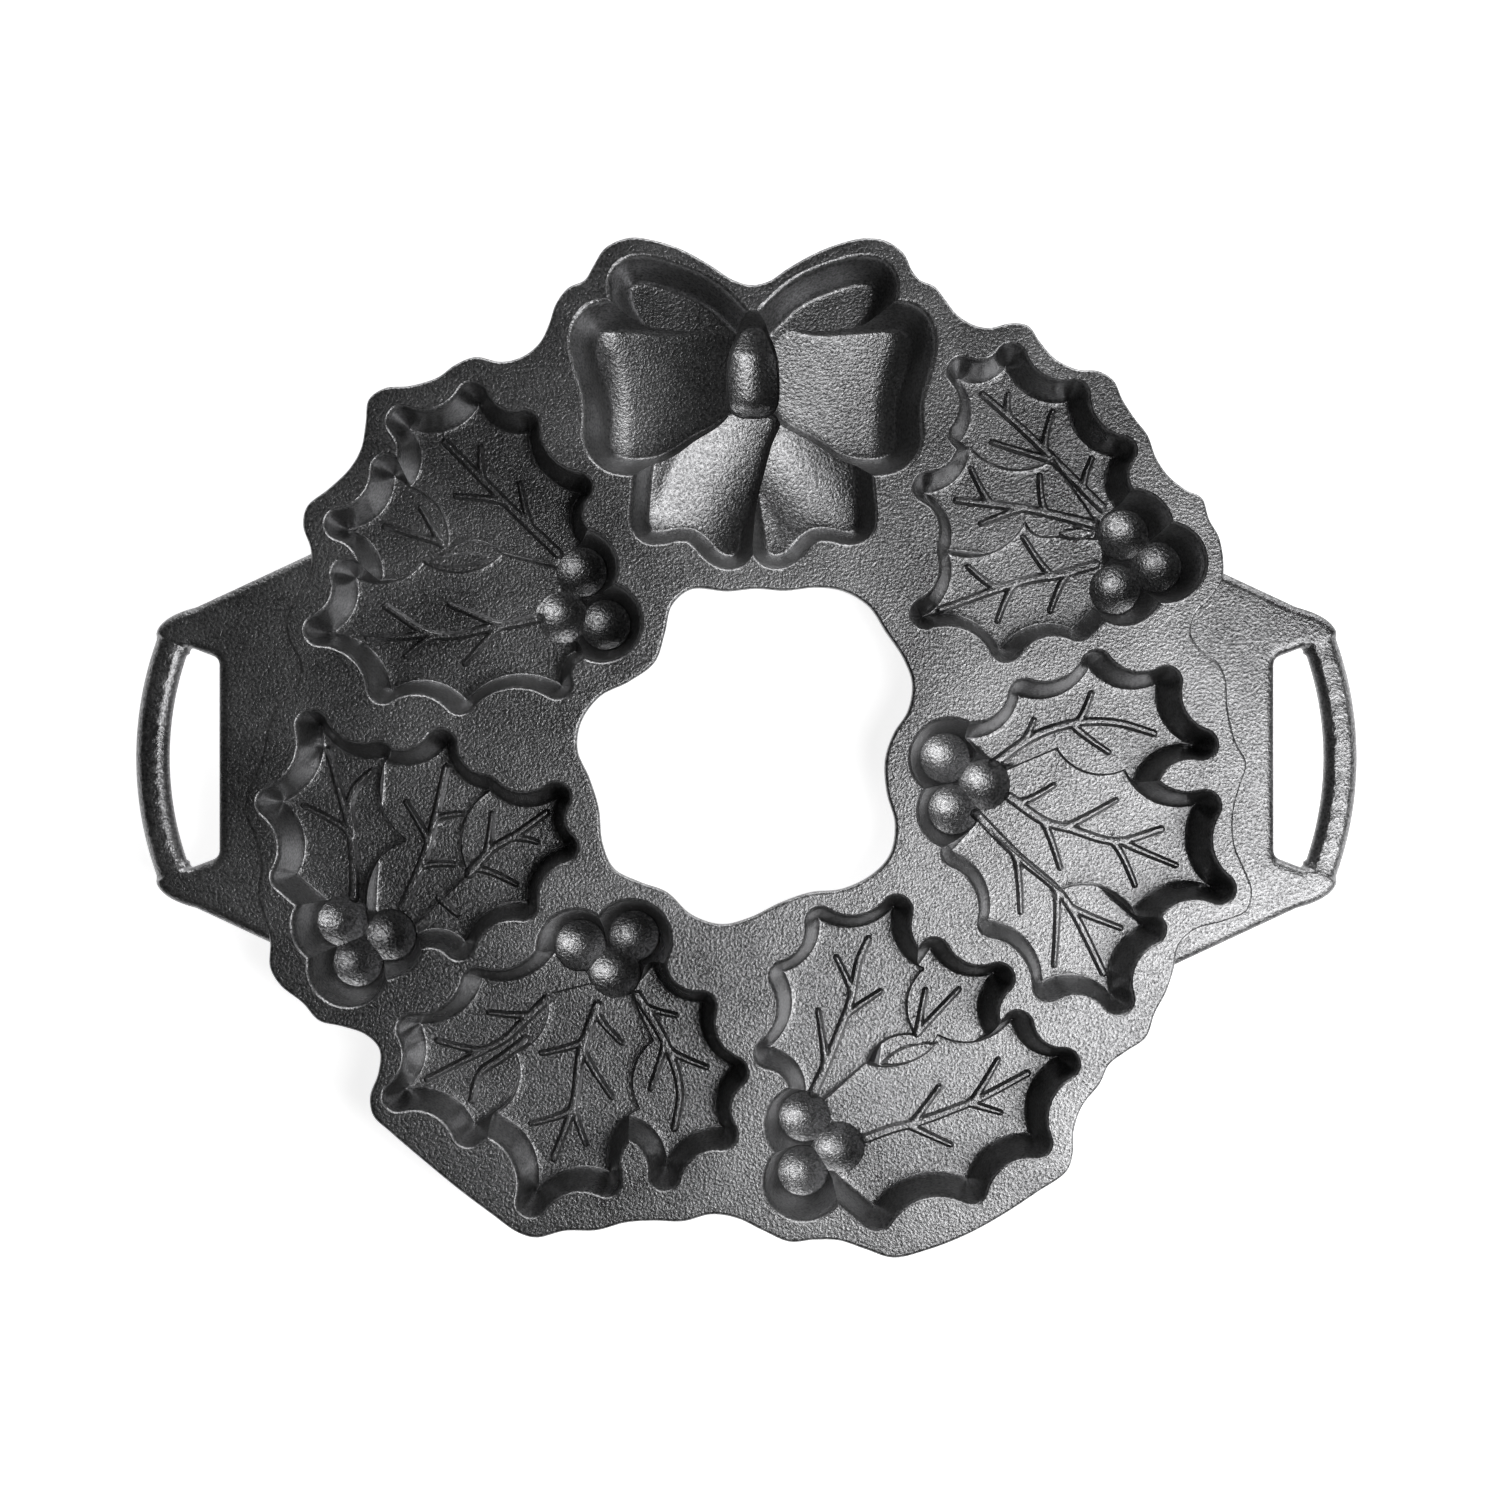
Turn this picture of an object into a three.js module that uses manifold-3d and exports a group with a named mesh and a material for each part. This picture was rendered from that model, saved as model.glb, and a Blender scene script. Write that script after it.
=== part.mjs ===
// Cast iron wreath pan: a scalloped ring plate with one bow cup, six holly cups and two side handles.
// Millimetres, +Z up. The origin is under the middle of the pan, on the surface that it stands on.
import * as THREE from "three";
import { mergeVertices } from "three/addons/utils/BufferGeometryUtils.js";
import Module from "manifold-3d";

const wasm = await Module();
wasm.setup();

// Ring plate
const deckThickness = 4.5;
const deckEdgeChamfer = 1;
// Cups
const wellDepth = 20; // deck top to the floor of a front leaf
const leafStep = 1.2; // a leaf that lies behind another has its floor this much higher
const wallRun = 4; // sideways run of a leaf wall between its floor and its lip
const tipRadius = 0.5; // radius of a leaf tip at the floor
const scallopSag = 0.19; // depth of the hollow edge between two leaf tips, per length of its chord
const lipLand = 0.8; // flat rim of a cup outside its lip
const ledgeWidth = 0.8; // the cup wall steps out this far under the ring plate
const cupWall = 3.2;
const floorThickness = 4;
const berryRim = 8.3; // radius of a berry hollow at the leaf floor
const berryDip = 6; // depth of a berry hollow below the leaf floor
const footGrind = 0.6; // taken off the bottom of each berry boss, so that the pan stands on flats
// Bow cup
const bowAxis = 2; // the bow's own middle line, off the middle of the pan
const bowDepth = 20; // deck top to the floor of a big loop
const upperLoopRise = 5;
const tailRise = 2;
const knotDrop = 2;
const loopRun = 6.5;
const upperLoopRun = 6;
const tailRun = 4.5;
const knotRun = 2.5;
// Handles
const handleMiddle = -3.2; // y of a handle's own middle line
const handleDrop = 0.5; // the handle plate lies this much below the deck
const handleThickness = 4.5;
const handleSlope = 0.465; // how fast the plate narrows outwards, on each side
const handleShoulderHalf = 44.1;
const shoulderBack = 12.5; // the shoulders turn into the grip this far short of its outermost point
const shoulderRound = 7;
const slotLand = 7; // handle plate left between the ring plate's widest point and the hand slot
const handRoom = 16.2; // hand slot at its middle, from its straight side to the grip
const gripWidth = 10.5;
const gripHeight = 8.6;
const gripDrop = 0.2; // the crown of a grip lies this much below the handle plate
const gripBend = 104.5; // radius of the grip's middle line
const slotHalfAngle = THREE.MathUtils.degToRad(20.6);
const gripCorner = 3.6;
// Fit and smoothness
const clearance = 0.3; // gap between neighbouring pieces
const cutMargin = 1; // cutters run past a face by this much
const scallopSteps = 3;
const tipSteps = 2;
const berrySides = 12;
const berrySteps = 3;
const gripSteps = 10;
const cornerSteps = 2;
const deckOutlineSteps = 150;
const holeOutlineSteps = 44;
const bowOutlineSteps = 28;

// Heights below the deck top, and the height of the deck over the surface that the pan stands on.
const ledgeZ = -(deckThickness + clearance);
const berryRadius = (berryRim ** 2 + berryDip ** 2) / (2 * berryDip);
const berryBottomZ = -(wellDepth + berryDip);
const berryCentreZ = berryBottomZ + berryRadius;
const footZ = berryBottomZ - floorThickness + footGrind;
const deckHeight = -footZ;

// Outer edge of the ring plate, clockwise from the notch above the bow. Lobes follow the leaf tips.
const deckEdge = [
  [1.5, 145.2], [7, 146.4], [13, 150.4], [20, 154.4], [28, 157.8], [37, 159.9], [44, 159], [49.5, 155],
  [52, 149.8], [54.5, 146.8], [59, 144.8], [62.3, 140.8], [66, 136], [71, 132.8], [76, 131.7], [83, 133.2],
  [88.5, 132.4], [92, 127.6], [97, 122], [104, 118.7], [110.5, 118.2], [115.3, 115.2], [118, 109.4],
  [122, 103.2], [126, 98], [128.6, 91], [132.4, 85.4], [138, 80.9], [143, 78.4], [145.3, 71.6], [148.4, 66],
  [149.8, 58], [149.2, 52], [145.5, 46.5], [141, 41.6], [139.6, 36], [142.5, 31], [148, 26.8], [150.4, 22],
  [151.2, 12], [153.6, 2], [157, -5], [155, -12], [153, -20], [153.2, -30], [156.4, -38], [158.8, -45],
  [157, -51.4], [150, -54.6], [140.5, -57.4], [135.8, -62], [134, -70], [131.6, -77], [128.2, -83.4],
  [125.4, -91], [119, -95.6], [113.8, -99.6], [111, -105.4], [105.4, -112.6], [102.8, -120], [102.4, -128],
  [100.4, -133.2], [91, -139.8], [80, -147], [69, -153], [57, -157.7], [46, -160.2], [37.5, -157.6],
  [29, -154.8], [21, -154.6], [13.5, -155.2], [5, -151.6], [-3, -147.8], [-11, -146.6], [-20, -148.8],
  [-29, -148.6], [-38, -149.2], [-47, -151.6], [-57, -151.8], [-66, -153.9], [-72, -152.2], [-80, -146.5],
  [-90, -139], [-101, -130], [-112, -120.6], [-117.2, -115.6], [-118.2, -109.6], [-115.6, -102],
  [-115.3, -94.8], [-119.6, -90.2], [-127, -87.6], [-134.2, -85.8], [-139.4, -80.2], [-146.4, -74.6],
  [-149.6, -69], [-149.6, -61], [-151.4, -54], [-153.6, -46], [-152.6, -37], [-154.4, -28.4], [-157.8, -20],
  [-156, -12], [-152.4, -3], [-150.4, 6], [-147.4, 13.4], [-142, 18.6], [-140.2, 26], [-143.6, 33],
  [-144.8, 40], [-141.6, 47], [-137.4, 54], [-136.8, 62], [-139.2, 69.6], [-138, 75.6], [-131, 81.4],
  [-124.6, 87.6], [-121, 94], [-119.6, 102], [-118.6, 109.2], [-113.6, 112.8], [-106, 113.5], [-97, 116.2],
  [-91.4, 120.2], [-85, 122.6], [-77, 121.1], [-70.4, 122.7], [-65, 127], [-62, 133], [-60, 139],
  [-56, 144.3], [-50.8, 146.8], [-48, 151.4], [-44.4, 156.8], [-37, 160], [-29, 159.2], [-20, 156.2],
  [-11, 151.2], [-4.6, 147],
];

// Edge of the middle hole, clockwise from its top left lobe.
const holeEdge = [
  [-17.5, 49.6], [-6, 49], [3, 49.8], [12, 49.2], [22, 50.2], [30.5, 49], [38.4, 44.2], [43.6, 36.4],
  [49.2, 28], [52, 20], [50.6, 11.4], [46.2, 4.4], [43.5, -4], [44, -14], [46.6, -24], [45, -33.6],
  [39.2, -40], [30, -44.4], [20, -45.5], [10.4, -48.8], [1, -53.4], [-8, -55.5], [-17.4, -52.4],
  [-25, -45.4], [-34, -42], [-41.6, -38], [-45.2, -30], [-46.4, -19], [-49.4, -9.4], [-53, -1], [-52, 7.8],
  [-46, 16], [-37, 20.6], [-28.8, 26.8], [-25.6, 36], [-23.4, 44.6],
];

// Holly cups: a leaf is its tips in order, joined by hollow edges, then the straight base under the berries
// or under another leaf. Layer 0 is the front leaf. Points lie on the floor, and a berry is its hollow's
// middle.
const hollyCups = {
  holly_cup_top_right: {
    leaves: [
      { layer: 2, tips: [[68.5, 98], [67.8, 117.8], [83, 121.9], [102.6, 110.6], [117.4, 93]],
        base: [[118, 77], [114, 72], [90, 80]] },
      { layer: 1, tips: [[98, 91.9], [71.6, 95.8], [57.2, 81.5], [65, 63.6]], base: [[112, 64], [112, 72]] },
      { layer: 0, tips: [[97.9, 67.4], [89.4, 71.8], [64.9, 62.2], [56.3, 42], [81.4, 31.5], [104.3, 38.2]],
        base: [[112, 46], [110, 58]] },
    ],
    berries: [[121, 68.3], [131.6, 58], [118.3, 50.8]],
  },
  holly_cup_right: {
    leaves: [
      { layer: 1, tips: [[87.3, 16.6], [109.8, 25.6], [131.5, 20.6], [142.8, 0.8], [124, -10]],
        base: [[80, -5], [71, 3]] },
      { layer: 0, base: [[80, -20], [82, -8]],
        tips: [[99.5, -0.6], [121.2, -7.5], [143.8, -18.4], [148.4, -44.4], [124.3, -52.3],
          [100.3, -45.5]] },
      { layer: 1, tips: [[77.6, -55], [94.8, -75], [116.5, -79], [126.5, -57]],
        base: [[110, -42], [90, -36], [76, -24], [66, -33]] },
    ],
    berries: [[63.8, -3.4], [76.4, -11.8], [66.4, -19.9]],
  },
  holly_cup_bottom_right: {
    leaves: [
      { layer: 0, base: [[27, -113], [19, -110]],
        tips: [[7.3, -96.2], [12, -72], [23.3, -55], [47, -51.2], [56.5, -71], [54, -92], [38.5, -101]] },
      { layer: 1, tips: [[58.8, -64.6], [79, -72.5], [76.5, -91.5]],
        base: [[55, -100], [42, -98], [48, -80]] },
      { layer: 0, base: [[29, -137], [28, -113], [38.5, -101.5]],
        tips: [[61.5, -92.5], [85, -87.5], [99.5, -99.3], [90.8, -124], [70.5, -138.4], [40.8, -146.8]] },
    ],
    berries: [[18.5, -118.6], [29.7, -128.4], [18, -136]],
  },
  holly_cup_bottom_left: {
    leaves: [
      { layer: 1, tips: [[-14.4, -81.4], [-4.5, -102], [-7.8, -121.6], [-25.8, -134.2], [-37.6, -117.9]],
        base: [[-40, -100], [-38, -80], [-30, -70]] },
      { layer: 0, base: [[-50, -76], [-37, -80]],
        tips: [[-30.4, -94], [-34.7, -115.7], [-44, -136.2], [-67.4, -142.6], [-79.9, -117.5], [-73.9, -98.2],
          [-63.7, -79.4]] },
      { layer: 1, tips: [[-60, -63], [-84.6, -74], [-104.8, -88.5], [-109.2, -109.5], [-87.2, -120.6]],
        base: [[-75, -112], [-60, -75]] },
    ],
    berries: [[-52.5, -64.2], [-37.6, -61.2], [-42.3, -71.9]],
  },
  holly_cup_left: {
    leaves: [
      { layer: 0, tips: [[-110.7, -29.5], [-115.8, -3], [-136.4, 6.8], [-148.8, -17.4], [-144.2, -40.6]],
        base: [[-135, -49], [-122, -50]] },
      { layer: 1, tips: [[-116, -4], [-96, 0.9], [-83, -13.5], [-89.3, -40.4]],
        base: [[-104, -51], [-118, -50]] },
      { layer: 2, tips: [[-82, -14], [-60, -15.7], [-57.8, -31.3], [-70.3, -49.6], [-90.2, -62]],
        base: [[-105, -61], [-104, -51]] },
    ],
    berries: [[-131, -56], [-124.9, -68.8], [-114.3, -60.3]],
  },
  holly_cup_top_left: {
    leaves: [
      { layer: 0, base: [[-54, 66], [-62, 58]],
        tips: [[-78.6, 62.7], [-96, 63.9], [-107.8, 84], [-107.9, 102.2], [-86, 109.8], [-70, 101],
          [-53.3, 81.5]] },
      { layer: 1, tips: [[-112.8, 87], [-127.4, 70], [-116.8, 54]], base: [[-98, 56], [-80, 58], [-95, 72]] },
      { layer: 0, base: [[-55, 31], [-62, 53]],
        tips: [[-78.6, 62], [-103.8, 59.5], [-125.3, 54.4], [-133.8, 36.8], [-114, 18.6], [-90, 15.2],
          [-59.5, 20]] },
    ],
    berries: [[-53, 56.3], [-59, 41.8], [-45.4, 39.4]],
  },
};

// Bow cup: floor edges of one half, as distance from the bow's middle line and y. The knot's is whole.
const bigLoopEdge = [
  [7.3, 107], [7, 131], [25, 132.2], [44, 133.5], [49, 132.5], [50.8, 128], [49.5, 120], [46.6, 110],
  [46.3, 103], [46.5, 97.5], [45, 94], [41.5, 92.4], [30.4, 92.9], [19.7, 99],
];
const upperLoopEdge = [
  [5, 130], [10, 136.5], [16, 141.5], [25, 145.6], [34.5, 148], [38.6, 147], [39, 142.5], [34, 134],
  [20, 128],
];
const tailEdge = [
  [4.2, 62.6], [6, 60.9], [8.6, 60.9], [11.5, 62.5], [15, 66.4], [19, 69.2], [24, 69.6], [30, 68.5],
  [33, 69.2], [33.8, 72], [33.3, 79], [32, 90], [26, 103], [9, 106], [0.6, 95], [1.6, 78], [3.2, 68],
];
const knotEdge = [
  [0, 134.5], [4, 133], [6.6, 126], [7.6, 117], [6.6, 108.6], [0, 106.6], [-6.6, 108.6], [-7.6, 117],
  [-6.6, 126], [-4, 133],
];

const iron = new THREE.MeshStandardMaterial({ color: 0x2b2b2c, roughness: 0.55, metalness: 0.6 });

// Closed solids and their joining and cutting

function solidOf(geometry) {
  geometry.deleteAttribute("normal");
  geometry.deleteAttribute("uv");
  const merged = mergeVertices(geometry, 1e-4);
  return new wasm.Manifold(
    new wasm.Mesh({
      numProp: 3,
      vertProperties: merged.attributes.position.array,
      triVerts: new Uint32Array(merged.index.array),
    }),
  );
}

const joined = (solids) => solids.reduce((whole, solid) => whole.add(solid));

const cutBy = (solid, cutters) => cutters.reduce((rest, cutter) => rest.subtract(cutter), solid);

function meshOf(name, solid) {
  const { vertProperties, triVerts } = solid.getMesh();
  const geometry = new THREE.BufferGeometry();
  geometry.setAttribute("position", new THREE.BufferAttribute(vertProperties, 3));
  geometry.setIndex(new THREE.BufferAttribute(triVerts, 1));
  geometry.computeVertexNormals();
  const mesh = new THREE.Mesh(geometry, iron);
  mesh.name = name;
  return mesh;
}

// Skins a stack of rings of Vector3, each with as many points as the next, and closes both ends.
function loft(rings, flat) {
  const count = rings[0].length;
  const positions = rings.flat().flatMap((point) => point.toArray());
  const faces = [];
  for (let row = 0; row < rings.length - 1; row++) {
    const low = row * count;
    for (let i = 0; i < count; i++) {
      const next = (i + 1) % count;
      faces.push(low + i, low + next, low + count + next);
      faces.push(low + i, low + count + next, low + count + i);
    }
  }
  const top = (rings.length - 1) * count;
  for (const [a, b, c] of THREE.ShapeUtils.triangulateShape(rings[0].map(flat), [])) {
    faces.push(c, b, a);
  }
  for (const [a, b, c] of THREE.ShapeUtils.triangulateShape(rings.at(-1).map(flat), [])) {
    faces.push(top + a, top + b, top + c);
  }
  const geometry = new THREE.BufferGeometry();
  geometry.setAttribute("position", new THREE.Float32BufferAttribute(positions, 3));
  geometry.setIndex(faces);
  return solidOf(geometry);
}

// A solid with level rings: each level is the outline's offset and its height.
function levels(outline, stack) {
  const rings = stack.map(([offset, z]) => outline(offset).map((p) => new THREE.Vector3(p.x, p.y, z)));
  return loft(rings, (p) => new THREE.Vector2(p.x, p.y));
}

// Outlines, counterclockwise, at a distance outside the drawn one

function smoothOutline(points, steps) {
  const curve = new THREE.CatmullRomCurve3(
    points.map(([x, y]) => new THREE.Vector3(x, y, 0)),
    true,
    "centripetal",
  );
  let samples = curve.getSpacedPoints(steps).slice(0, -1);
  if (THREE.ShapeUtils.isClockWise(samples)) {
    samples = samples.reverse();
  }
  return (offset) =>
    samples.map((at, i) => {
      const before = samples.at(i - 1);
      const after = samples[(i + 1) % samples.length];
      const along = after.clone().sub(before).normalize();
      return new THREE.Vector2(at.x + along.y * offset, at.y - along.x * offset);
    });
}

// Points and outward normals along the hollow or straight edge between two corners.
function edgeSamples(from, to) {
  const chord = to.at.clone().sub(from.at);
  const out = new THREE.Vector2(chord.y, -chord.x).normalize();
  if (!from.tip || !to.tip) {
    return [from.at, to.at].map((at) => ({ at, out }));
  }
  const half = chord.length() / 2;
  const sag = 2 * half * scallopSag;
  const radius = (half ** 2 + sag ** 2) / (2 * sag);
  const centre = from.at.clone().add(to.at).multiplyScalar(0.5).addScaledVector(out, radius - sag);
  const spread = Math.asin(half / radius);
  return Array.from({ length: scallopSteps + 1 }, (_, i) => {
    const turn = spread * (1 - (2 * i) / scallopSteps);
    const inward = out.clone().negate().rotateAround(new THREE.Vector2(), turn);
    return { at: centre.clone().addScaledVector(inward, radius), out: inward.negate() };
  });
}

function leafOutline({ tips, base }) {
  const corner = (tip) => ([x, y]) => ({ at: new THREE.Vector2(x, y), tip });
  const corners = [...tips.map(corner(true)), ...base.map(corner(false))];
  if (THREE.ShapeUtils.isClockWise(corners.map(({ at }) => at))) {
    corners.reverse();
  }
  const edges = corners.map((from, i) => edgeSamples(from, corners[(i + 1) % corners.length]));
  return (offset) => edges.flatMap((edge, i) => offsetEdge(edges.at(i - 1), edge, offset));
}

// The corner before an edge, then the edge itself without its ends.
function offsetEdge(edgeBefore, edge, offset) {
  const { at, out } = edge[0];
  const outBefore = edgeBefore.at(-1).out;
  const turn = Math.atan2(outBefore.cross(out), outBefore.dot(out));
  const inner = edge.slice(1, -1).map((s) => s.at.clone().addScaledVector(s.out, offset));
  if (turn < 0) {
    const mitre = outBefore.clone().add(out).divideScalar(1 + outBefore.dot(out));
    return [at.clone().addScaledVector(mitre, offset), ...inner];
  }
  const fan = Array.from({ length: tipSteps + 1 }, (_, i) =>
    outBefore.clone().rotateAround(new THREE.Vector2(), (turn * i) / tipSteps),
  );
  return [...fan.map((way) => at.clone().addScaledVector(way, offset)), ...inner];
}

// Cups: each is a set of shapes with a hollow to cut and an outer skin, which may be grown for a clearance

function prismShape(outline, floorZ, floorOffset, run) {
  const lip = floorOffset + run;
  const mouth = lip + lipLand;
  return {
    hollow: () => levels(outline, [[floorOffset, floorZ], [lip, 0], [lip, cutMargin]]),
    skin: (grow, top) =>
      levels(outline, [
        [floorOffset + cupWall + grow, floorZ - floorThickness],
        [mouth + ledgeWidth + grow, ledgeZ],
        [mouth + grow, ledgeZ],
        [mouth + grow, top],
      ]),
  };
}

function turned(profile, [x, y]) {
  const geometry = new THREE.LatheGeometry(profile, berrySides);
  return solidOf(geometry.rotateX(Math.PI / 2).translate(x, y, 0));
}

// Points on a berry's round bottom, from a height up to the leaf floor.
function berryArc(radius, fromZ) {
  const from = Math.acos((berryCentreZ - fromZ) / radius);
  const to = Math.acos((berryCentreZ + wellDepth) / radius);
  return Array.from({ length: berrySteps + 1 }, (_, i) => {
    const angle = THREE.MathUtils.lerp(from, to, i / berrySteps);
    return new THREE.Vector2(radius * Math.sin(angle), berryCentreZ - radius * Math.cos(angle));
  });
}

function berryShape(place) {
  const lip = berryRim + wallRun;
  const mouth = lip + lipLand;
  const point = (r, z) => new THREE.Vector2(r, z);
  return {
    hollow: () =>
      turned(
        [
          ...berryArc(berryRadius, berryBottomZ),
          point(lip, 0),
          point(lip, cutMargin),
          point(0, cutMargin),
        ],
        place,
      ),
    skin: (grow, top) =>
      turned(
        [
          point(0, footZ),
          ...berryArc(berryRadius + floorThickness, footZ).map(({ x, y }) => point(x + grow, y)),
          point(mouth + ledgeWidth + grow, ledgeZ),
          point(mouth + grow, ledgeZ),
          point(mouth + grow, top),
          point(0, top),
        ],
        place,
      ),
  };
}

function hollyShapes({ leaves, berries }) {
  const leafShapes = leaves.map((leaf) =>
    prismShape(leafOutline(leaf), leaf.layer * leafStep - wellDepth, tipRadius, wallRun),
  );
  return [...leafShapes, ...berries.map(berryShape)];
}

function bowShapes() {
  const half = (edge, side) => edge.map(([u, y]) => [bowAxis + side * u, y]);
  const part = (edge, side, rise, run) =>
    prismShape(smoothOutline(half(edge, side), bowOutlineSteps), rise - bowDepth, 0, run);
  const sides = [-1, 1].flatMap((side) => [
    part(bigLoopEdge, side, 0, loopRun),
    part(upperLoopEdge, side, upperLoopRise, upperLoopRun),
    part(tailEdge, side, tailRise, tailRun),
  ]);
  return [...sides, part(knotEdge, 1, -knotDrop, knotRun)];
}

const skinOf = (shapes, grow, top) => joined(shapes.map((shape) => shape.skin(grow, top)));

const cupShapes = { bow_cup: bowShapes() };
for (const [name, cup] of Object.entries(hollyCups)) {
  cupShapes[name] = hollyShapes(cup);
}
const cupNames = Object.keys(cupShapes);
const cupCutters = cupNames.map((name) => skinOf(cupShapes[name], clearance, cutMargin));

// A cup keeps clear of the cups made before it.
function cup(name, index) {
  const shapes = cupShapes[name];
  const hollows = shapes.map((shape) => shape.hollow());
  return meshOf(name, cutBy(skinOf(shapes, 0, 0), [...hollows, ...cupCutters.slice(0, index)]));
}

// Ring plate, with its edges chamfered and a mouth for each cup

const deckOutline = smoothOutline(deckEdge, deckOutlineSteps);
const holeOutline = smoothOutline(holeEdge, holeOutlineSteps);

function deck() {
  const bottomZ = -deckThickness;
  const chamfer = deckEdgeChamfer;
  const plate = levels(deckOutline, [
    [-chamfer, bottomZ],
    [0, bottomZ + chamfer],
    [0, -chamfer],
    [-chamfer, 0],
  ]);
  const hole = levels(holeOutline, [
    [chamfer + cutMargin, bottomZ - cutMargin],
    [0, bottomZ + chamfer],
    [0, -chamfer],
    [chamfer + cutMargin, cutMargin],
  ]);
  return meshOf("ring_plate", cutBy(plate, [hole, ...cupCutters]));
}

// Handles, drawn on the right with +X outwards; the left one is turned round

const deckReach = Math.max(...deckEdge.map(([x]) => Math.abs(x)));
const slotInner = deckReach + slotLand;
const gripReach = slotInner + handRoom + gripWidth;
const handleShoulder = gripReach - shoulderBack;
const gripCentreX = gripReach - gripWidth / 2 - gripBend;
const gripInner = gripBend - gripWidth / 2;
const gripOuter = gripBend + gripWidth / 2;
const plateTopZ = -handleDrop;
const plateBottomZ = plateTopZ - handleThickness;
const gripMiddleZ = plateTopZ - gripDrop - gripHeight / 2;

function gripPoint(radius, angle) {
  return new THREE.Vector2(gripCentreX + radius * Math.cos(angle), radius * Math.sin(angle));
}

// Points of an arc about the grip's centre, from one side of its middle to the other.
function gripArc(radius, halfAngle) {
  return Array.from({ length: gripSteps + 1 }, (_, i) =>
    gripPoint(radius, halfAngle * ((2 * i) / gripSteps - 1)),
  );
}

function flatSolid(points, lowZ, highZ) {
  return levels(() => points, [[0, lowZ], [0, highZ]]);
}

// Drawn from the middle of the pan outwards; the ring plate's outline is cut away from it later.
function handlePlate() {
  const rootHalf = handleShoulderHalf + handleSlope * handleShoulder;
  const shape = new THREE.Shape();
  const shoulderAngle = Math.asin((handleShoulderHalf - shoulderRound) / gripOuter);
  const end = gripPoint(gripOuter, shoulderAngle);
  const roundStartX = handleShoulder - shoulderRound;
  const roundStartY = handleShoulderHalf + handleSlope * shoulderRound;
  shape.moveTo(0, -rootHalf);
  shape.lineTo(roundStartX, -roundStartY);
  shape.quadraticCurveTo(end.x, -handleShoulderHalf, end.x, -end.y);
  shape.absarc(gripCentreX, 0, gripOuter, -shoulderAngle, shoulderAngle, false);
  shape.quadraticCurveTo(end.x, handleShoulderHalf, roundStartX, roundStartY);
  shape.lineTo(0, rootHalf);
  const plate = flatSolid(shape.getPoints(gripSteps), plateBottomZ, plateTopZ);
  const slotReach = gripOuter + cutMargin;
  const slotCorner = (slotInner - gripCentreX) / Math.cos(slotHalfAngle);
  const slot = flatSolid(
    [
      gripPoint(slotCorner, -slotHalfAngle),
      ...gripArc(slotReach, slotHalfAngle),
      gripPoint(slotCorner, slotHalfAngle),
    ],
    plateBottomZ - cutMargin,
    plateTopZ + cutMargin,
  );
  return cutBy(plate, [slot]);
}

// Rounded section of a grip, as distance out from its middle line and height.
function gripSection() {
  const round = Math.min(gripCorner, gripWidth / 2, gripHeight / 2);
  const across = gripWidth / 2 - round;
  const up = gripHeight / 2 - round;
  const corners = [[across, up], [-across, up], [-across, -up], [across, -up]];
  return corners.flatMap(([out, high], quarter) =>
    Array.from({ length: cornerSteps + 1 }, (_, i) => {
      const angle = (Math.PI / 2) * (quarter + i / cornerSteps);
      return new THREE.Vector2(out + round * Math.cos(angle), high + round * Math.sin(angle));
    }),
  );
}

function grip() {
  const section = gripSection();
  const halfAngle = slotHalfAngle - clearance / gripInner;
  const rings = Array.from({ length: gripSteps + 1 }, (_, i) => {
    const angle = THREE.MathUtils.lerp(halfAngle, -halfAngle, i / gripSteps);
    return section.map(({ x, y }) => {
      const at = gripPoint(gripBend + x, angle);
      return new THREE.Vector3(at.x, at.y, gripMiddleZ + y);
    });
  });
  return loft(rings, (p) => new THREE.Vector2(Math.hypot(p.x - gripCentreX, p.y), p.z));
}

function handle(sideName, turn) {
  const keepOut = levels(deckOutline, [
    [clearance, plateBottomZ - cutMargin],
    [clearance, plateTopZ + cutMargin],
  ]);
  const placed = (solid) => solid.rotate([0, 0, turn]).translate([0, handleMiddle, 0]);
  return [
    meshOf(sideName + "_handle_plate", cutBy(placed(handlePlate()), [keepOut])),
    meshOf(sideName + "_grip", placed(grip())),
  ];
}

const pan = new THREE.Group();
pan.position.z = deckHeight;
pan.add(deck(), ...cupNames.map(cup), ...handle("right", 0), ...handle("left", 180));

const wreathPan = new THREE.Group();
wreathPan.name = "wreath_pan";
wreathPan.add(pan);

export default wreathPan;
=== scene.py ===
import math

import bmesh
import bpy
import numpy as np
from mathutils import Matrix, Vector, kdtree
from mathutils.geometry import delaunay_2d_cdt
from numpy.linalg import norm


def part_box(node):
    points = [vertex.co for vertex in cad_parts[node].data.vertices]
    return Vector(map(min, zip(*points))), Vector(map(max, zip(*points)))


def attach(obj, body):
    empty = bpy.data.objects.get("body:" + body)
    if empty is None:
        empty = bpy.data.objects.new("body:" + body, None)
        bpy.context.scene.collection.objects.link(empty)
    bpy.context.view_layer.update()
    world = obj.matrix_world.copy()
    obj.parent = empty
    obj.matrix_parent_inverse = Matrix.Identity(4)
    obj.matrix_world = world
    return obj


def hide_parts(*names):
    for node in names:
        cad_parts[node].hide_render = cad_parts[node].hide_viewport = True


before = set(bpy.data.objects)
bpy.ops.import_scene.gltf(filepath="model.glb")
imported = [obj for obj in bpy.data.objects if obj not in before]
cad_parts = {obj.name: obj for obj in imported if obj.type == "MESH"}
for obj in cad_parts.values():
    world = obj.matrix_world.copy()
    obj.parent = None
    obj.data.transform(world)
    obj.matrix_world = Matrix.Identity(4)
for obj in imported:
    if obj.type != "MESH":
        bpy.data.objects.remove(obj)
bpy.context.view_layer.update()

mm = 0.001
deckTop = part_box("ring_plate")[1][2]  # shapes are drawn in millimetres with the deck top at height 0
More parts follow.
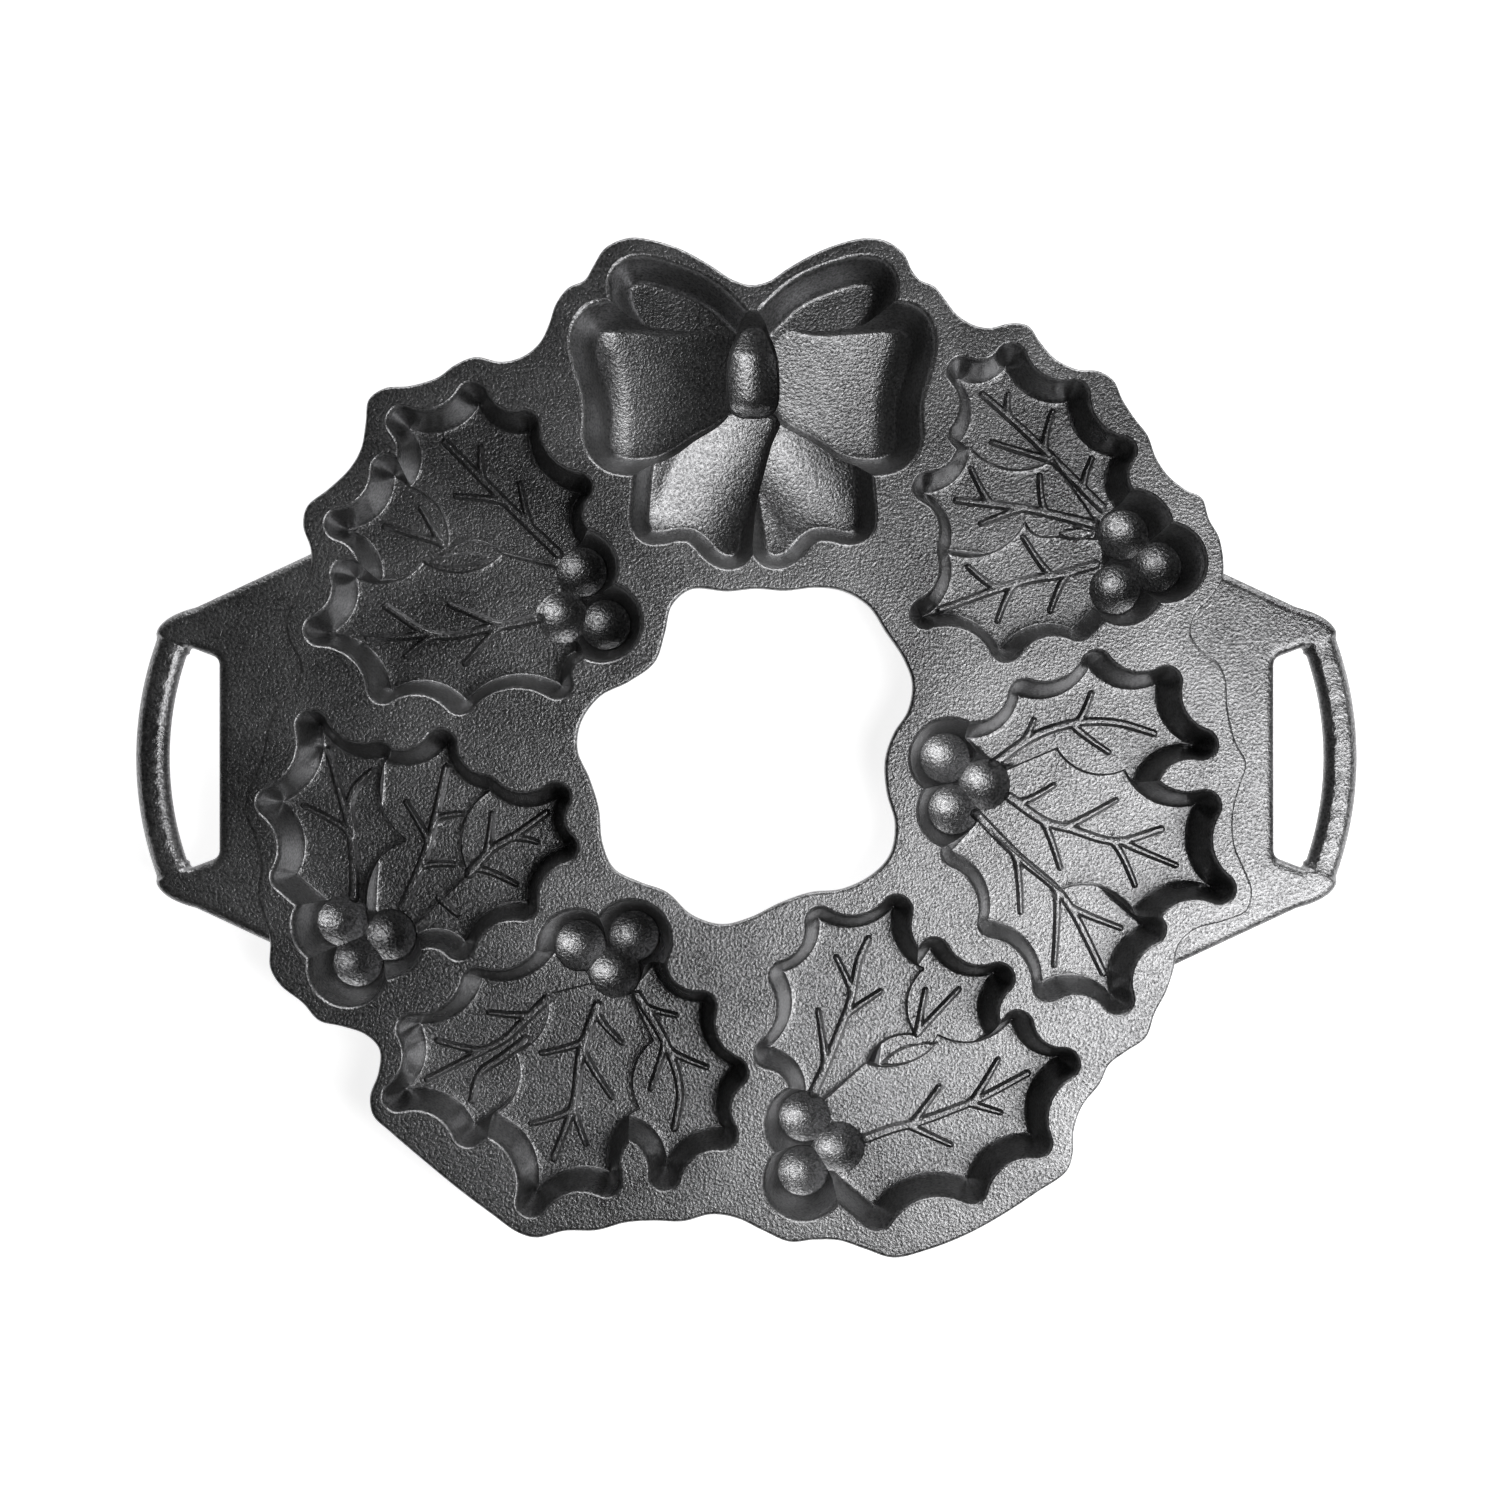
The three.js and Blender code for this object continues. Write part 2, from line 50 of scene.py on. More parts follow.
viewMiddle = np.array([1.1, -0.8])  # the camera stands over this point
print("frame loaded, deck top at", round(deckTop / mm, 2), "mm")

# What the whole casting shares
casting = {
    "deckThickness": 4.5,
    "deckRound": 1.1,
    "cupWall": 3.2,
    "floorThickness": 4.0,
    "ledge": 0.8,  # cup walls flare out this much where they meet the plate
    "lipRound": 1.0,  # half width of the rounded lip of a cup
    "outerRound": 0.5,
    "footGrind": 0.6,
    "lipRows": (-1, -0.6, -0.2, 0.2, 0.6),  # rows of points across a lip, in half widths
    "sampling": 1.0,  # along an edge
    "keepWithin": 0.4,  # a row of points is kept where its own surface shows
    "fillGap": 0.6,  # filling points keep this share of their spacing away from lines
    "weld": 0.004,
    "level": 0.001,  # nearer than this to the deck is on it
    "creaseSteps": 9,  # each halves the error in the place of a crease
    "sharpAngle": math.radians(42),
}
farAway = 99.0  # beyond any size in a cup
chunk = 2000  # points handled at once, which keeps the tables small


# Lines and distances

def mix(a, b, t, start, end):
    return a + (b - a) * (t - start) / (end - start)


def smoothLine(points, spacing, closed):
    p = np.array(points, float)
    if closed:
        p = np.vstack([p[-1:], p, p[:2]])
    else:
        p = np.vstack([2 * p[:1] - p[1:2], p, 2 * p[-1:] - p[-2:-1]])
    out = []
    for a, b, c, d in zip(p, p[1:], p[2:], p[3:]):
        t1 = math.sqrt(norm(b - a))
        t2 = t1 + math.sqrt(norm(c - b))
        t3 = t2 + math.sqrt(norm(d - c))
        count = max(2, math.ceil(norm(c - b) / spacing))
        t = (t1 + (t2 - t1) * np.arange(count) / count)[:, None]
        ab, bc, cd = mix(a, b, t, 0, t1), mix(b, c, t, t1, t2), mix(c, d, t, t2, t3)
        abc, bcd = mix(ab, bc, t, 0, t2), mix(bc, cd, t, t1, t3)
        out.append(mix(abc, bcd, t, t1, t2))
    if not closed:
        out.append(p[-2:-1])
    return np.vstack(out)


def turnedLeft(ring):
    x, y = ring.T
    area = np.sum(x * np.roll(y, -1) - np.roll(x, -1) * y)
    return ring if area > 0 else ring[::-1]


def rightOf(way):
    return np.array([way[1], -way[0]]) / norm(way)


def around(middle, radius, angle):
    return np.asarray(middle) + radius * np.column_stack([np.cos(angle), np.sin(angle)])


def offsetLine(line, offset, closed):
    if closed:
        along = np.roll(line, -1, 0) - np.roll(line, 1, 0)
    else:
        along = np.gradient(line, axis=0)
    along /= norm(along, axis=1)[:, None]
    return line + np.asarray(offset)[..., None] * np.column_stack([along[:, 1], -along[:, 0]])


def chunks(points):
    return [slice(i, i + chunk) for i in range(0, len(points), chunk)]


def nearestOn(points, line, closed):  # distance, and how far along the line, as a share
    a = line if closed else line[:-1]
    ab = (np.roll(line, -1, 0) - line) if closed else line[1:] - line[:-1]
    length2 = np.maximum((ab ** 2).sum(1), 1e-12)
    out = np.empty((2, len(points)))
    for part in chunks(points):
        px, py = points[part, :1] - a[:, 0], points[part, 1:] - a[:, 1]
        t = np.clip((px * ab[:, 0] + py * ab[:, 1]) / length2, 0, 1)
        far2 = (px - t * ab[:, 0]) ** 2 + (py - t * ab[:, 1]) ** 2
        best = far2.argmin(1)
        row = np.arange(len(best))
        out[:, part] = np.sqrt(far2[row, best]), (best + t[row, best]) / len(a)
    return out


def distanceTo(points, line, closed):
    return nearestOn(points, line, closed)[0]


def isNear(points, line, reach):
    return np.all((points > line.min(0) - reach) & (points < line.max(0) + reach), axis=1)


def isInside(points, ring):
    x0, y0 = ring.T
    x1, y1 = np.roll(ring, -1, 0).T
    out = np.empty(len(points), bool)
    for part in chunks(points):
        x, y = points[part, :1], points[part, 1:]
        across = (y0 > y) != (y1 > y)
        rise = np.where(y1 == y0, 1, y1 - y0)
        out[part] = (across & (x < (x1 - x0) * (y - y0) / rise + x0)).sum(1) % 2 == 1
    return out


def signedDistance(points, ring, reach=12):  # below 0 inside; points past the reach just count as far
    near = isNear(points, ring, reach)
    out = np.full(len(points), farAway)
    d = distanceTo(points[near], ring, True)
    out[near] = np.where(isInside(points[near], ring), -d, d)
    return out


def ramp(s, width):  # 0, then a rounded corner, then s itself
    return np.where(s <= -width, 0, np.where(s >= width, s, (s + width) ** 2 / (4 * width)))


def smoothStep(x, start, end):
    t = np.clip((x - start) / (end - start), 0, 1)
    return t * t * (3 - 2 * t)


def wallShare(s, run, floorRound):  # 0 on the floor, 1 on the deck
    return (ramp(s, floorRound) - ramp(s - run, casting["lipRound"])) / run


# A plan of points and edges, meshed and lifted to a top and a bottom surface

def newPlan():
    return {"points": [], "edges": []}


def addLine(plan, line, closed, keep=None):
    start = len(plan["points"])
    plan["points"].extend(map(tuple, line))
    count = len(line)
    for i in range(count if closed else count - 1):
        j = (i + 1) % count
        if keep is None or (keep[i] and keep[j]):
            plan["edges"].append((start + i, start + j))


def dropLoosePoints(plan):
    used = sorted({i for edge in plan["edges"] for i in edge})
    place = {old: new for new, old in enumerate(used)}
    plan["points"] = [plan["points"][i] for i in used]
    plan["edges"] = [(place[a], place[b]) for a, b in plan["edges"]]


def fillPlan(plan, isWanted, spacing):
    points = np.array(plan["points"])
    tree = kdtree.KDTree(len(points))
    for i, (x, y) in enumerate(points):
        tree.insert((x, y, 0), i)
    tree.balance()
    low, high = points.min(0), points.max(0)
    rows = np.arange(low[1], high[1], spacing * math.sqrt(0.75))  # of even triangles
    grid = []
    for row, y in enumerate(rows):
        x = np.arange(low[0] + (row % 2) * spacing / 2, high[0], spacing)
        grid.append(np.column_stack([x, np.full(len(x), y)]))
    grid = np.vstack(grid)
    grid = grid[isWanted(grid)]
    for x, y in grid:
        if tree.find((x, y, 0))[2] > casting["fillGap"] * spacing:
            plan["points"].append((x, y))


def meshPlan(plan):
    points = [Vector(p) for p in plan["points"]]
    verts, _, faces, *_ = delaunay_2d_cdt(points, plan["edges"], [], 0, casting["weld"])
    return np.array([tuple(v) for v in verts]), np.array(faces)


def addCreases(plan, hollows):  # lines along which one hollow's surface takes over from another's
    flat, faces = meshPlan(plan)
    z = heights(hollows, "top", flat)
    owner, isBelow = z.argmin(0), z.min(0) < -casting["level"]  # the mouth itself is no crease
    sides = np.sort(faces[:, [[0, 1], [1, 2], [2, 0]]].reshape(-1, 2), axis=1)
    sides, back = np.unique(sides, axis=0, return_inverse=True)
    back = back.reshape(-1, 3)
    cut = np.flatnonzero((owner[sides[:, 0]] != owner[sides[:, 1]]) & isBelow[sides].all(1))
    a, b = flat[sides[cut].T]
    ownA, ownB = owner[sides[cut].T]
    low, high = np.zeros(len(cut)), np.ones(len(cut))
    row = np.arange(len(cut))
    for _ in range(casting["creaseSteps"]):
        middle = (low + high) / 2
        z = heights(hollows, "top", a + (b - a) * middle[:, None])
        stillA = z[ownA, row] < z[ownB, row]
        low, high = np.where(stillA, middle, low), np.where(stillA, high, middle)
    start = len(plan["points"])
    plan["points"].extend(map(tuple, a + (b - a) * high[:, None]))
    place = np.full(len(sides), -1)
    place[cut] = start + row
    for face in place[back]:
        ends = face[face >= 0]
        if len(ends) == 2:
            plan["edges"].append(tuple(int(i) for i in ends))


def newObject(name, data):
    thing = bpy.data.objects.new(name, data)
    bpy.context.collection.objects.link(thing)
    return thing


def castPiece(name, plan, isWanted, topOf, bottomOf, nodes):
    flat, faces = meshPlan(plan)
    faces = faces[isWanted(flat[faces].mean(1))]
    used = np.unique(faces)
    place = np.full(len(flat), -1)
    place[used] = np.arange(len(used))
    flat, faces = flat[used], place[faces]
    mesh = bpy.data.meshes.new(name)
    mesh.from_pydata(np.column_stack([flat * mm, np.zeros(len(flat))]).tolist(), [], faces.tolist())
    bm = bmesh.new()
    bm.from_mesh(mesh)
    lower = bm.verts[:]
    grown = bmesh.ops.extrude_face_region(bm, geom=bm.faces[:])
    upper = [v for v in grown["geom"] if isinstance(v, bmesh.types.BMVert)]
    for side, heightOf in ((lower, bottomOf), (upper, topOf)):
        at = np.array([v.co[:2] for v in side]) / mm
        for v, z in zip(side, heightOf(at)):
            v.co.z = deckTop + z * mm
    bmesh.ops.recalc_face_normals(bm, faces=bm.faces[:])
    bm.to_mesh(mesh)
    bm.free()
    mesh.shade_smooth()
    mesh.set_sharp_from_angle(angle=casting["sharpAngle"])
    mesh.materials.append(seasonedIron)
    piece = newObject(name, mesh)
    evenNormals = piece.modifiers.new("evenNormals", "WEIGHTED_NORMAL")  # keeps flats flat by round edges
    evenNormals.keep_sharp = True
    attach(piece, "root")
    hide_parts(*nodes)
    print(name, len(mesh.vertices), "points", len(mesh.polygons), "faces")


# Seasoned iron: sand cast grain under a thin baked oil film

ironLook = {
    "dark": (0.095, 0.095, 0.097, 1),  # in the pits of the grain, as painted shade
    "pale": (0.310, 0.310, 0.315, 1),
    "spread": (0.8, 1.25),  # grain and clouds together, from dark to pale
    "grain": (1150, 2, 0.5),  # scale per metre, detail and roughness of the noise
    "fineGrain": (2900, 2, 0.6),
    "fineShare": 0.35,
    "cloud": (26, 4, 0.6),
    "cloudShare": 0.7,
    "cloudRange": (0.3, 0.7),
    "gloss": (0.26, 0.34),
    "grainDepth": 0.00021,
    "wallGrain": 0.12,  # walls drew smoothly from the sand
    "facing": (0.4, 0.85),  # upward part of the normal, from wall to floor
    "metallic": 0.9,
    "specular": 0.7,
}


def newMaterial(name):
    mat = bpy.data.materials.new(name)
    mat.use_nodes = True
    return mat, mat.node_tree, mat.node_tree.nodes["Principled BSDF"]


def mathNode(tree, operation, *values):  # each value is a socket or a number
    node = tree.nodes.new("ShaderNodeMath")
    node.operation = operation
    for socket, value in zip(node.inputs, values):
        if isinstance(value, bpy.types.NodeSocket):
            tree.links.new(value, socket)
        else:
            socket.default_value = value
    return node.outputs[0]


def makeIron():
    mat, tree, shader = newMaterial("seasonedIron")
    nodes, links = tree.nodes, tree.links
    coord = nodes.new("ShaderNodeTexCoord")

    def noise(settings):
        node = nodes.new("ShaderNodeTexNoise")
        for name, value in zip(("Scale", "Detail", "Roughness"), settings):
            node.inputs[name].default_value = value
        links.new(coord.outputs["Object"], node.inputs["Vector"])
        return node.outputs["Fac"]

    def mapped(value, fromRange, toRange):
        node = nodes.new("ShaderNodeMapRange")
        for name, ends in (("From", fromRange), ("To", toRange)):
            node.inputs[name + " Min"].default_value, node.inputs[name + " Max"].default_value = ends
        links.new(value, node.inputs["Value"])
        return node.outputs["Result"]

    cloud = noise(ironLook["cloud"])
    fine, coarse = noise(ironLook["fineGrain"]), noise(ironLook["grain"])
    grain = mathNode(tree, "MULTIPLY_ADD", fine, ironLook["fineShare"], coarse)
    facing = nodes.new("ShaderNodeSeparateXYZ")
    links.new(coord.outputs["Normal"], facing.inputs["Vector"])
    bump = nodes.new("ShaderNodeBump")
    bump.inputs["Distance"].default_value = ironLook["grainDepth"]
    strength = mapped(facing.outputs["Z"], ironLook["facing"], (ironLook["wallGrain"], 1))
    links.new(strength, bump.inputs["Strength"])
    links.new(grain, bump.inputs["Height"])
    links.new(bump.outputs["Normal"], shader.inputs["Normal"])

    # the colour follows the grain that also makes the bump: darker in its pits as painted shade, paler on
    # its tops as painted highlight, with clouds of tone that differs at random
    tone = nodes.new("ShaderNodeValToRGB")
    tone.color_ramp.elements[0].color = ironLook["dark"]
    tone.color_ramp.elements[1].color = ironLook["pale"]
    speck = mathNode(tree, "MULTIPLY_ADD", cloud, ironLook["cloudShare"], grain)
    links.new(mapped(speck, ironLook["spread"], (0, 1)), tone.inputs["Fac"])
    links.new(tone.outputs["Color"], shader.inputs["Base Color"])
    links.new(mapped(cloud, ironLook["cloudRange"], ironLook["gloss"]), shader.inputs["Roughness"])
    shader.inputs["Metallic"].default_value = ironLook["metallic"]
    shader.inputs["Specular IOR Level"].default_value = ironLook["specular"]
    return mat


seasonedIron = makeIron()

# Holly cups: a leaf is its tips, joined by hollow edges, then the straight base under berries or a leaf.
# Layer 0 is the front leaf, with the deepest floor. Veins are ridges drawn on the leaf floors.

holly = {
    "depth": 20.0,
    "leafStep": 1.2,
    "run": 4.0,  # of the wall, from floor to lip
    "tipRadius": 0.5,
    "scallopSag": 0.19,
    "tipTurn": 0.3,  # most turn between two points round a tip
    "floorRound": 0.75,
    "floorRows": (-1, -0.4, 0.2, 0.6, 1),
    "berryRim": 8.3,
    "berryDip": 3.1,
    "berryRows": (1.2, 2.6, 4.2, 5.6, 6.8, 7.7),
    "berryLipRows": (-0.8, -0.5, -0.2, 0.2, 0.5),
    "berryFoot": 0.01,  # the wall meets the berry in a sharp corner
    "bossDip": 6.0,  # the boss under a berry is rounder than the berry
    "bossTurn": 1.6,  # the boss becomes the cup wall this far within the mouth
    "veinScale": 1.025,  # vein points were noted on the picture, where floors look smaller than the deck
    "veinStep": 0.8,  # between points along a vein
    "veinReach": 2.0,
    "veinHalf": 1.8,
    "branchShare": 0.85,  # width of a branch against its main vein
    "branchPull": 0.8,
    "veinTaper": 0.25,
    "veinEnd": 7,  # points round the end of a vein
    "veinSide": 1.0,  # width of a vein's steep side
    "veinRows": (0, 0.5, 1),  # rows of points on the steep side
    "veinFade": (5.0, 4.0),  # over these heights above the lowest floor a vein rises out of a wall
    "veinHeight": 1.8,
    "veinCrown": 0.2,  # share of the height that is the round top
    "veinJoin": 3.0,  # a branch leaves its main vein this far before it bends away
    "veinSnap": 7.0,
    "gapRise": 2.2,  # a pointed oval between front leaves stands this high over the lowest floor
    "fill": 2.2,
}

hollyCupTopRight = {
    "node": "holly_cup_top_right",
    "leaves": [
        {"layer": 2, "base": [(114, 72), (90, 80)], "tips": [
            (68.5, 98), (67.8, 117.8), (83, 121.9), (102.6, 110.6), (117.4, 93), (118, 77)]},
        {"layer": 1, "base": [(112, 58), (112, 72)], "tips": [
            (98, 91.9), (71.6, 95.8), (57.2, 81.5), (65, 63.6)]},
        {"layer": 0, "base": [(112, 46), (114.5, 60), (114, 66.5)], "tips": [
            (97.9, 67.4), (89.4, 71.8), (64.9, 62.2), (56.3, 42), (81.4, 31.5), (104.3, 38.2)]},
    ],
    "berries": [(121, 68.3), (131.6, 58), (118.3, 50.8)],
    "gaps": [((96.5, 66.6), (110, 67.2), 2.2)],
    "veins": [
        [(111, 75), (98.7, 87.3), (91, 94.9), (81.8, 103.4), (73.8, 110.3)],
        [(80.7, 105.7), (81.8, 110.3)], [(91.8, 94.9), (95.6, 104.9)], [(92.5, 90.3), (76.8, 95.3)],
        [(104.4, 83.4), (107.9, 90.3)],
        [(109.4, 69.6), (100.2, 71.9), (87.9, 74.6), (65.7, 77.3)], [(74.1, 78.1), (70.3, 87.3)],
        [(91.4, 75.8), (91.8, 85)], [(83.3, 74.2), (73.4, 70)],
        [(109.4, 57.4), (98.7, 54.3), (86.4, 52), (60.7, 43.2)], [(92.5, 55.8), (86.8, 65.8)],
        [(75.7, 50.4), (69.5, 56.6)], [(98.7, 54.3), (95.2, 42.8)], [(81.8, 49.7), (78.7, 39.7)],
    ],
}
hollyCupRight = {
    "node": "holly_cup_right",
    "leaves": [
        {"layer": 1, "base": [(80, -5)], "tips": [
            (71, 3), (87.3, 16.6), (109.8, 25.6), (131.5, 20.6), (142.8, 0.8), (124, -10)]},
        {"layer": 0, "base": [(73.5, -22.8), (82, -8)], "tips": [
            (99.5, -0.6), (121.2, -7.5), (143.8, -18.4), (148.4, -44.4), (124.3, -52.3), (100.3, -45.5)]},
        {"layer": 1, "base": [(110, -42), (92, -30), (78, -20)], "tips": [
            (66, -33), (77.6, -55), (94.8, -75), (116.5, -79), (126.5, -57)]},
    ],
    "berries": [(63.8, -3.4), (76.4, -11.8), (66.4, -19.9)],
    "veins": [
        [(77.5, -5), (90, 3.5), (103.3, 7.7), (115.8, 7.7), (127.5, 4.4)], [(88.3, 2.7), (90, 8.5)],
        [(105.8, 9.4), (107.9, 16.9)], [(105, 3.5), (113.3, -1.5)],
        [(82.5, -15.6), (93.3, -23.1), (101.7, -25.6), (115.8, -29.4), (130, -25.6)],
        [(87.5, -18.1), (96.3, -11.9)], [(103.3, -24), (115.8, -16.5)], [(95, -25.6), (98.3, -37.7)],
        [(117.5, -30.6), (121.7, -43.1)], [(120.8, -31.5), (134.6, -36.9)],
        [(72, -20.8), (85, -34), (96.7, -44), (101.7, -50.6), (111.7, -70.6)],
        [(85.8, -34.8), (85.8, -51.5)], [(98.3, -46.5), (96.3, -68.1)], [(103.3, -51.5), (117.1, -56.5)],
    ],
}
hollyCupBottomRight = {
    "node": "holly_cup_bottom_right",
    "leaves": [
        {"layer": 0, "base": [(24, -112.5)], "tips": [
            (19, -110), (7.3, -96.2), (12, -72), (23.3, -55), (47, -51.2), (56.5, -71), (54, -92),
            (38.5, -101)]},
        {"layer": 1, "base": [(62, -104), (42, -104), (44, -90), (48, -80)], "tips": [
            (58.8, -64.6), (79, -72.5), (76.5, -91.5)]},
        {"layer": 0, "base": [(29, -137), (24.5, -114)], "tips": [
            (38.5, -101.5), (61.5, -92.5), (85, -87.5), (99.5, -99.3), (90.8, -124), (70.5, -138.4),
            (40.8, -146.8)]},
    ],
    "berries": [(18.5, -118.6), (29.7, -128.4), (18, -136)],
    "gaps": [((41.2, -99.5), (60.4, -92.3), 3.0)],
    "veins": [
        [(20.9, -108.3), (25.2, -98.7), (28.6, -90.2), (32.8, -78.7), (35.1, -67.2), (38.2, -60)],
        [(25, -97), (22.5, -82.5)], [(32.8, -74), (28.2, -65.7)], [(33.6, -81.8), (42, -76.4)],
        [(53.4, -89.4), (56, -75.9)], [(53.4, -89.4), (66.4, -75.7)],
        [(37.4, -122.5), (45.9, -119.4), (53.5, -117.5), (65, -113.3), (72.7, -110.2), (88, -102.1)],
        [(53.5, -116.3), (60.4, -106.3)], [(72.7, -108.7), (78.8, -97.9)],
        [(73.5, -112.5), (79.6, -114.4)], [(54.3, -120.2), (63.9, -124.4)],
    ],
}
hollyCupBottomLeft = {
    "node": "holly_cup_bottom_left",
    "leaves": [
        {"layer": 1, "base": [(-40, -100), (-38, -80)], "tips": [
            (-30, -70), (-14.4, -81.4), (-4.5, -102), (-7.8, -121.6), (-25.8, -134.2), (-37.6, -117.9)]},
        {"layer": 0, "base": [(-50, -76), (-37, -80)], "tips": [
            (-30.4, -94), (-34.7, -115.7), (-44, -136.2), (-67.4, -142.6), (-79.9, -117.5),
            (-73.9, -98.2), (-63.7, -79.4)]},
        {"layer": 1, "base": [(-75, -112), (-48, -77), (-52, -66)], "tips": [
            (-60, -63), (-84.6, -74), (-104.8, -88.5), (-109.2, -109.5), (-87.2, -120.6)]},
    ],
    "berries": [(-53.3, -63.4), (-36.2, -60.4), (-42.3, -72.2)],
    "veins": [
        [(-34.2, -77.5), (-27.5, -88.3), (-22.9, -98.3), (-20.8, -108.3), (-22.5, -119.2)],
        [(-30, -82.5), (-22.1, -83.8)], [(-22.5, -96.7), (-12.5, -100)], [(-25, -94.2), (-30, -106.7)],
        [(-46.7, -80.8), (-51.7, -95), (-54.2, -111.7), (-60.4, -128.8)], [(-47.5, -85), (-39.2, -92.5)],
        [(-51.7, -96.7), (-42.1, -109.6)], [(-54.2, -115), (-50.4, -124.2)],
        [(-52.5, -94.2), (-64.2, -95.8)], [(-56.7, -115.8), (-67.5, -117.9)],
        [(-62.2, -78.5), (-68.5, -84.5), (-76, -91.5), (-85, -96)],
        [(-69, -91.5), (-76.5, -97), (-83.3, -101.9), (-86, -110.4)], [(-70, -84.6), (-80.4, -82.9)],
        [(-84.8, -95.6), (-96.7, -91.7)], [(-84.8, -96.2), (-100, -103.8)],
    ],
}
hollyCupLeft = {
    "node": "holly_cup_left",
    "leaves": [
        {"layer": 0, "base": [(-131, -52)], "tips": [
            (-122.5, -52), (-109.6, -29.7), (-115.8, -3), (-136.4, 6.8), (-148.8, -17.4),
            (-144.2, -40.6)]},
        {"layer": 1, "base": [(-107, -57), (-119, -55)], "tips": [
            (-116, -4), (-96, 0.9), (-83, -13.5), (-89.3, -40.4)]},
        {"layer": 2, "base": [(-108, -56), (-95, -25)], "tips": [
            (-82, -14), (-60, -15.7), (-57.8, -31.3), (-70.3, -49.6), (-90.2, -62), (-106, -60)]},
    ],
    "berries": [(-129.9, -55.8), (-124.9, -68.8), (-114.3, -60.3)],
    "veins": [
        [(-123, -47), (-123, -36.5), (-124.5, -24.5), (-127.5, -13.7), (-131, -0.8)],
        [(-124.6, -24.4), (-138.7, -18.2)],
        [(-123.2, -27), (-124.4, -18.5), (-122.6, -12.6), (-117.4, -7.4)],
        [(-107.6, -50.1), (-101.3, -35.4), (-98.4, -25.9), (-94, -6.1)],
        [(-100.2, -26.6), (-106.5, -17.1)], [(-97, -20.7), (-88.9, -20.7)],
        [(-100.6, -35.4), (-91.5, -36.5)],
        [(-86.7, -39.4), (-79.4, -31.7), (-72, -27.3), (-62.5, -20.4)], [(-80.1, -30.3), (-79.4, -20.7)],
        [(-71.3, -27.3), (-65.4, -29.5)], [(-83, -36.1), (-72, -42.7)], [(-96.2, -47.1), (-90.4, -52.2)],
    ],
}
hollyCupTopLeft = {
    "node": "holly_cup_top_left",
    "leaves": [
        {"layer": 0, "base": [(-60.5, 58.2)], "tips": [
            (-78.6, 62.7), (-96, 63.9), (-107.8, 84), (-107.9, 102.2), (-86, 109.8), (-70, 101),
            (-53.3, 81.5), (-54, 66)]},
        {"layer": 1, "base": [(-100, 54), (-74, 60.3), (-94, 74)], "tips": [
            (-112.8, 87), (-127.4, 70), (-116.8, 54)]},
        {"layer": 0, "base": [(-60.5, 57)], "tips": [
            (-78.6, 62), (-103.8, 59.5), (-125.3, 54.4), (-133.8, 36.8), (-114, 18.6), (-90, 15.2),
            (-59.5, 20), (-55, 31)]},
    ],
    "berries": [(-53, 56.3), (-59, 41.8), (-45.4, 39.4)],
    "gaps": [((-101.5, 57.5), (-77.5, 59.8), 2.6), ((-103, 76.5), (-94.5, 63.8), 1.3)],
    "veins": [
        [(-59.1, 60.8), (-69.8, 71.1), (-83.7, 84.9), (-94.4, 95.7)], [(-83.7, 86.5), (-83.3, 94.1)],
        [(-79, 78), (-90.9, 78.8)], [(-69.1, 71.9), (-71, 82.6)], [(-95.2, 63.5), (-102, 75)],
        [(-95.2, 64), (-113.2, 69.2)],
        [(-65.2, 40.4), (-80, 37.5), (-97.5, 35.1), (-113.2, 44.3)], [(-80.6, 39.7), (-92.9, 44.7)],
        [(-104.4, 33.9), (-118.9, 34.3)], [(-79.8, 35.8), (-88.3, 26.3)],
        [(-101.3, 33.5), (-106.7, 28.6)],
    ],
}
hollyCups = {
    "hollyCupTopRight": hollyCupTopRight,
    "hollyCupRight": hollyCupRight,
    "hollyCupBottomRight": hollyCupBottomRight,
    "hollyCupBottomLeft": hollyCupBottomLeft,
    "hollyCupLeft": hollyCupLeft,
    "hollyCupTopLeft": hollyCupTopLeft,
}


def hollowEdge(start, end):  # points and outward normals of the arc between two tips
    length = norm(end - start)
    out = rightOf(end - start)
    sag = length * holly["scallopSag"]
    radius = (length ** 2 / 4 + sag ** 2) / (2 * sag)
    centre = (start + end) / 2 + out * (radius - sag)
    spread = math.asin(length / 2 / radius)
    count = math.ceil(length / casting["sampling"])
    turn = np.linspace(spread, -spread, count + 1)
    inward = np.column_stack([
        -out[0] * np.cos(turn) + out[1] * np.sin(turn),
        -out[0] * np.sin(turn) - out[1] * np.cos(turn),
    ])
    return centre + radius * inward, -inward


def straightEdge(start, end):
    chord = end - start
    share = np.linspace(0, 1, math.ceil(norm(chord) / casting["sampling"]) + 1)[:, None]
    return start + chord * share, np.tile(rightOf(chord), (len(share), 1))


def leafEdges(leaf):
    corners = [(np.array(p, float), True) for p in leaf["tips"]]
    corners += [(np.array(p, float), False) for p in leaf["base"]]
    ring = np.array([p for p, _ in corners])
    if turnedLeft(ring) is not ring:
        corners.reverse()
    edges = []
    for (start, startTip), (end, endTip) in zip(corners, corners[1:] + corners[:1]):
        edges.append((hollowEdge if startTip and endTip else straightEdge)(start, end))
    return edges


def leafRing(edges, offset):
    ring = []
    for (_, outsBefore), (points, outs) in zip(edges[-1:] + edges[:-1], edges):
        before, after = outsBefore[-1], outs[0]
        turn = math.atan2(before[0] * after[1] - before[1] * after[0], before @ after)
        if turn < 0 or offset == 0:
            mitre = (before + after) / (1 + before @ after) if turn < 0 else before
            ring.append(points[:1] + mitre * offset)
        else:
            steps = max(turn * offset / casting["sampling"], turn / holly["tipTurn"])
            turns = np.linspace(0, turn, max(2, math.ceil(steps)) + 1)
            ring.append(around(points[0], offset, math.atan2(before[1], before[0]) + turns))
        ring.append(points[1:-1] + outs[1:-1] * offset)
    return np.vstack(ring)


def circle(middle, radius):
    count = math.ceil(2 * math.pi * radius / casting["sampling"])
    return around(middle, radius, np.arange(count) * 2 * math.pi / count)


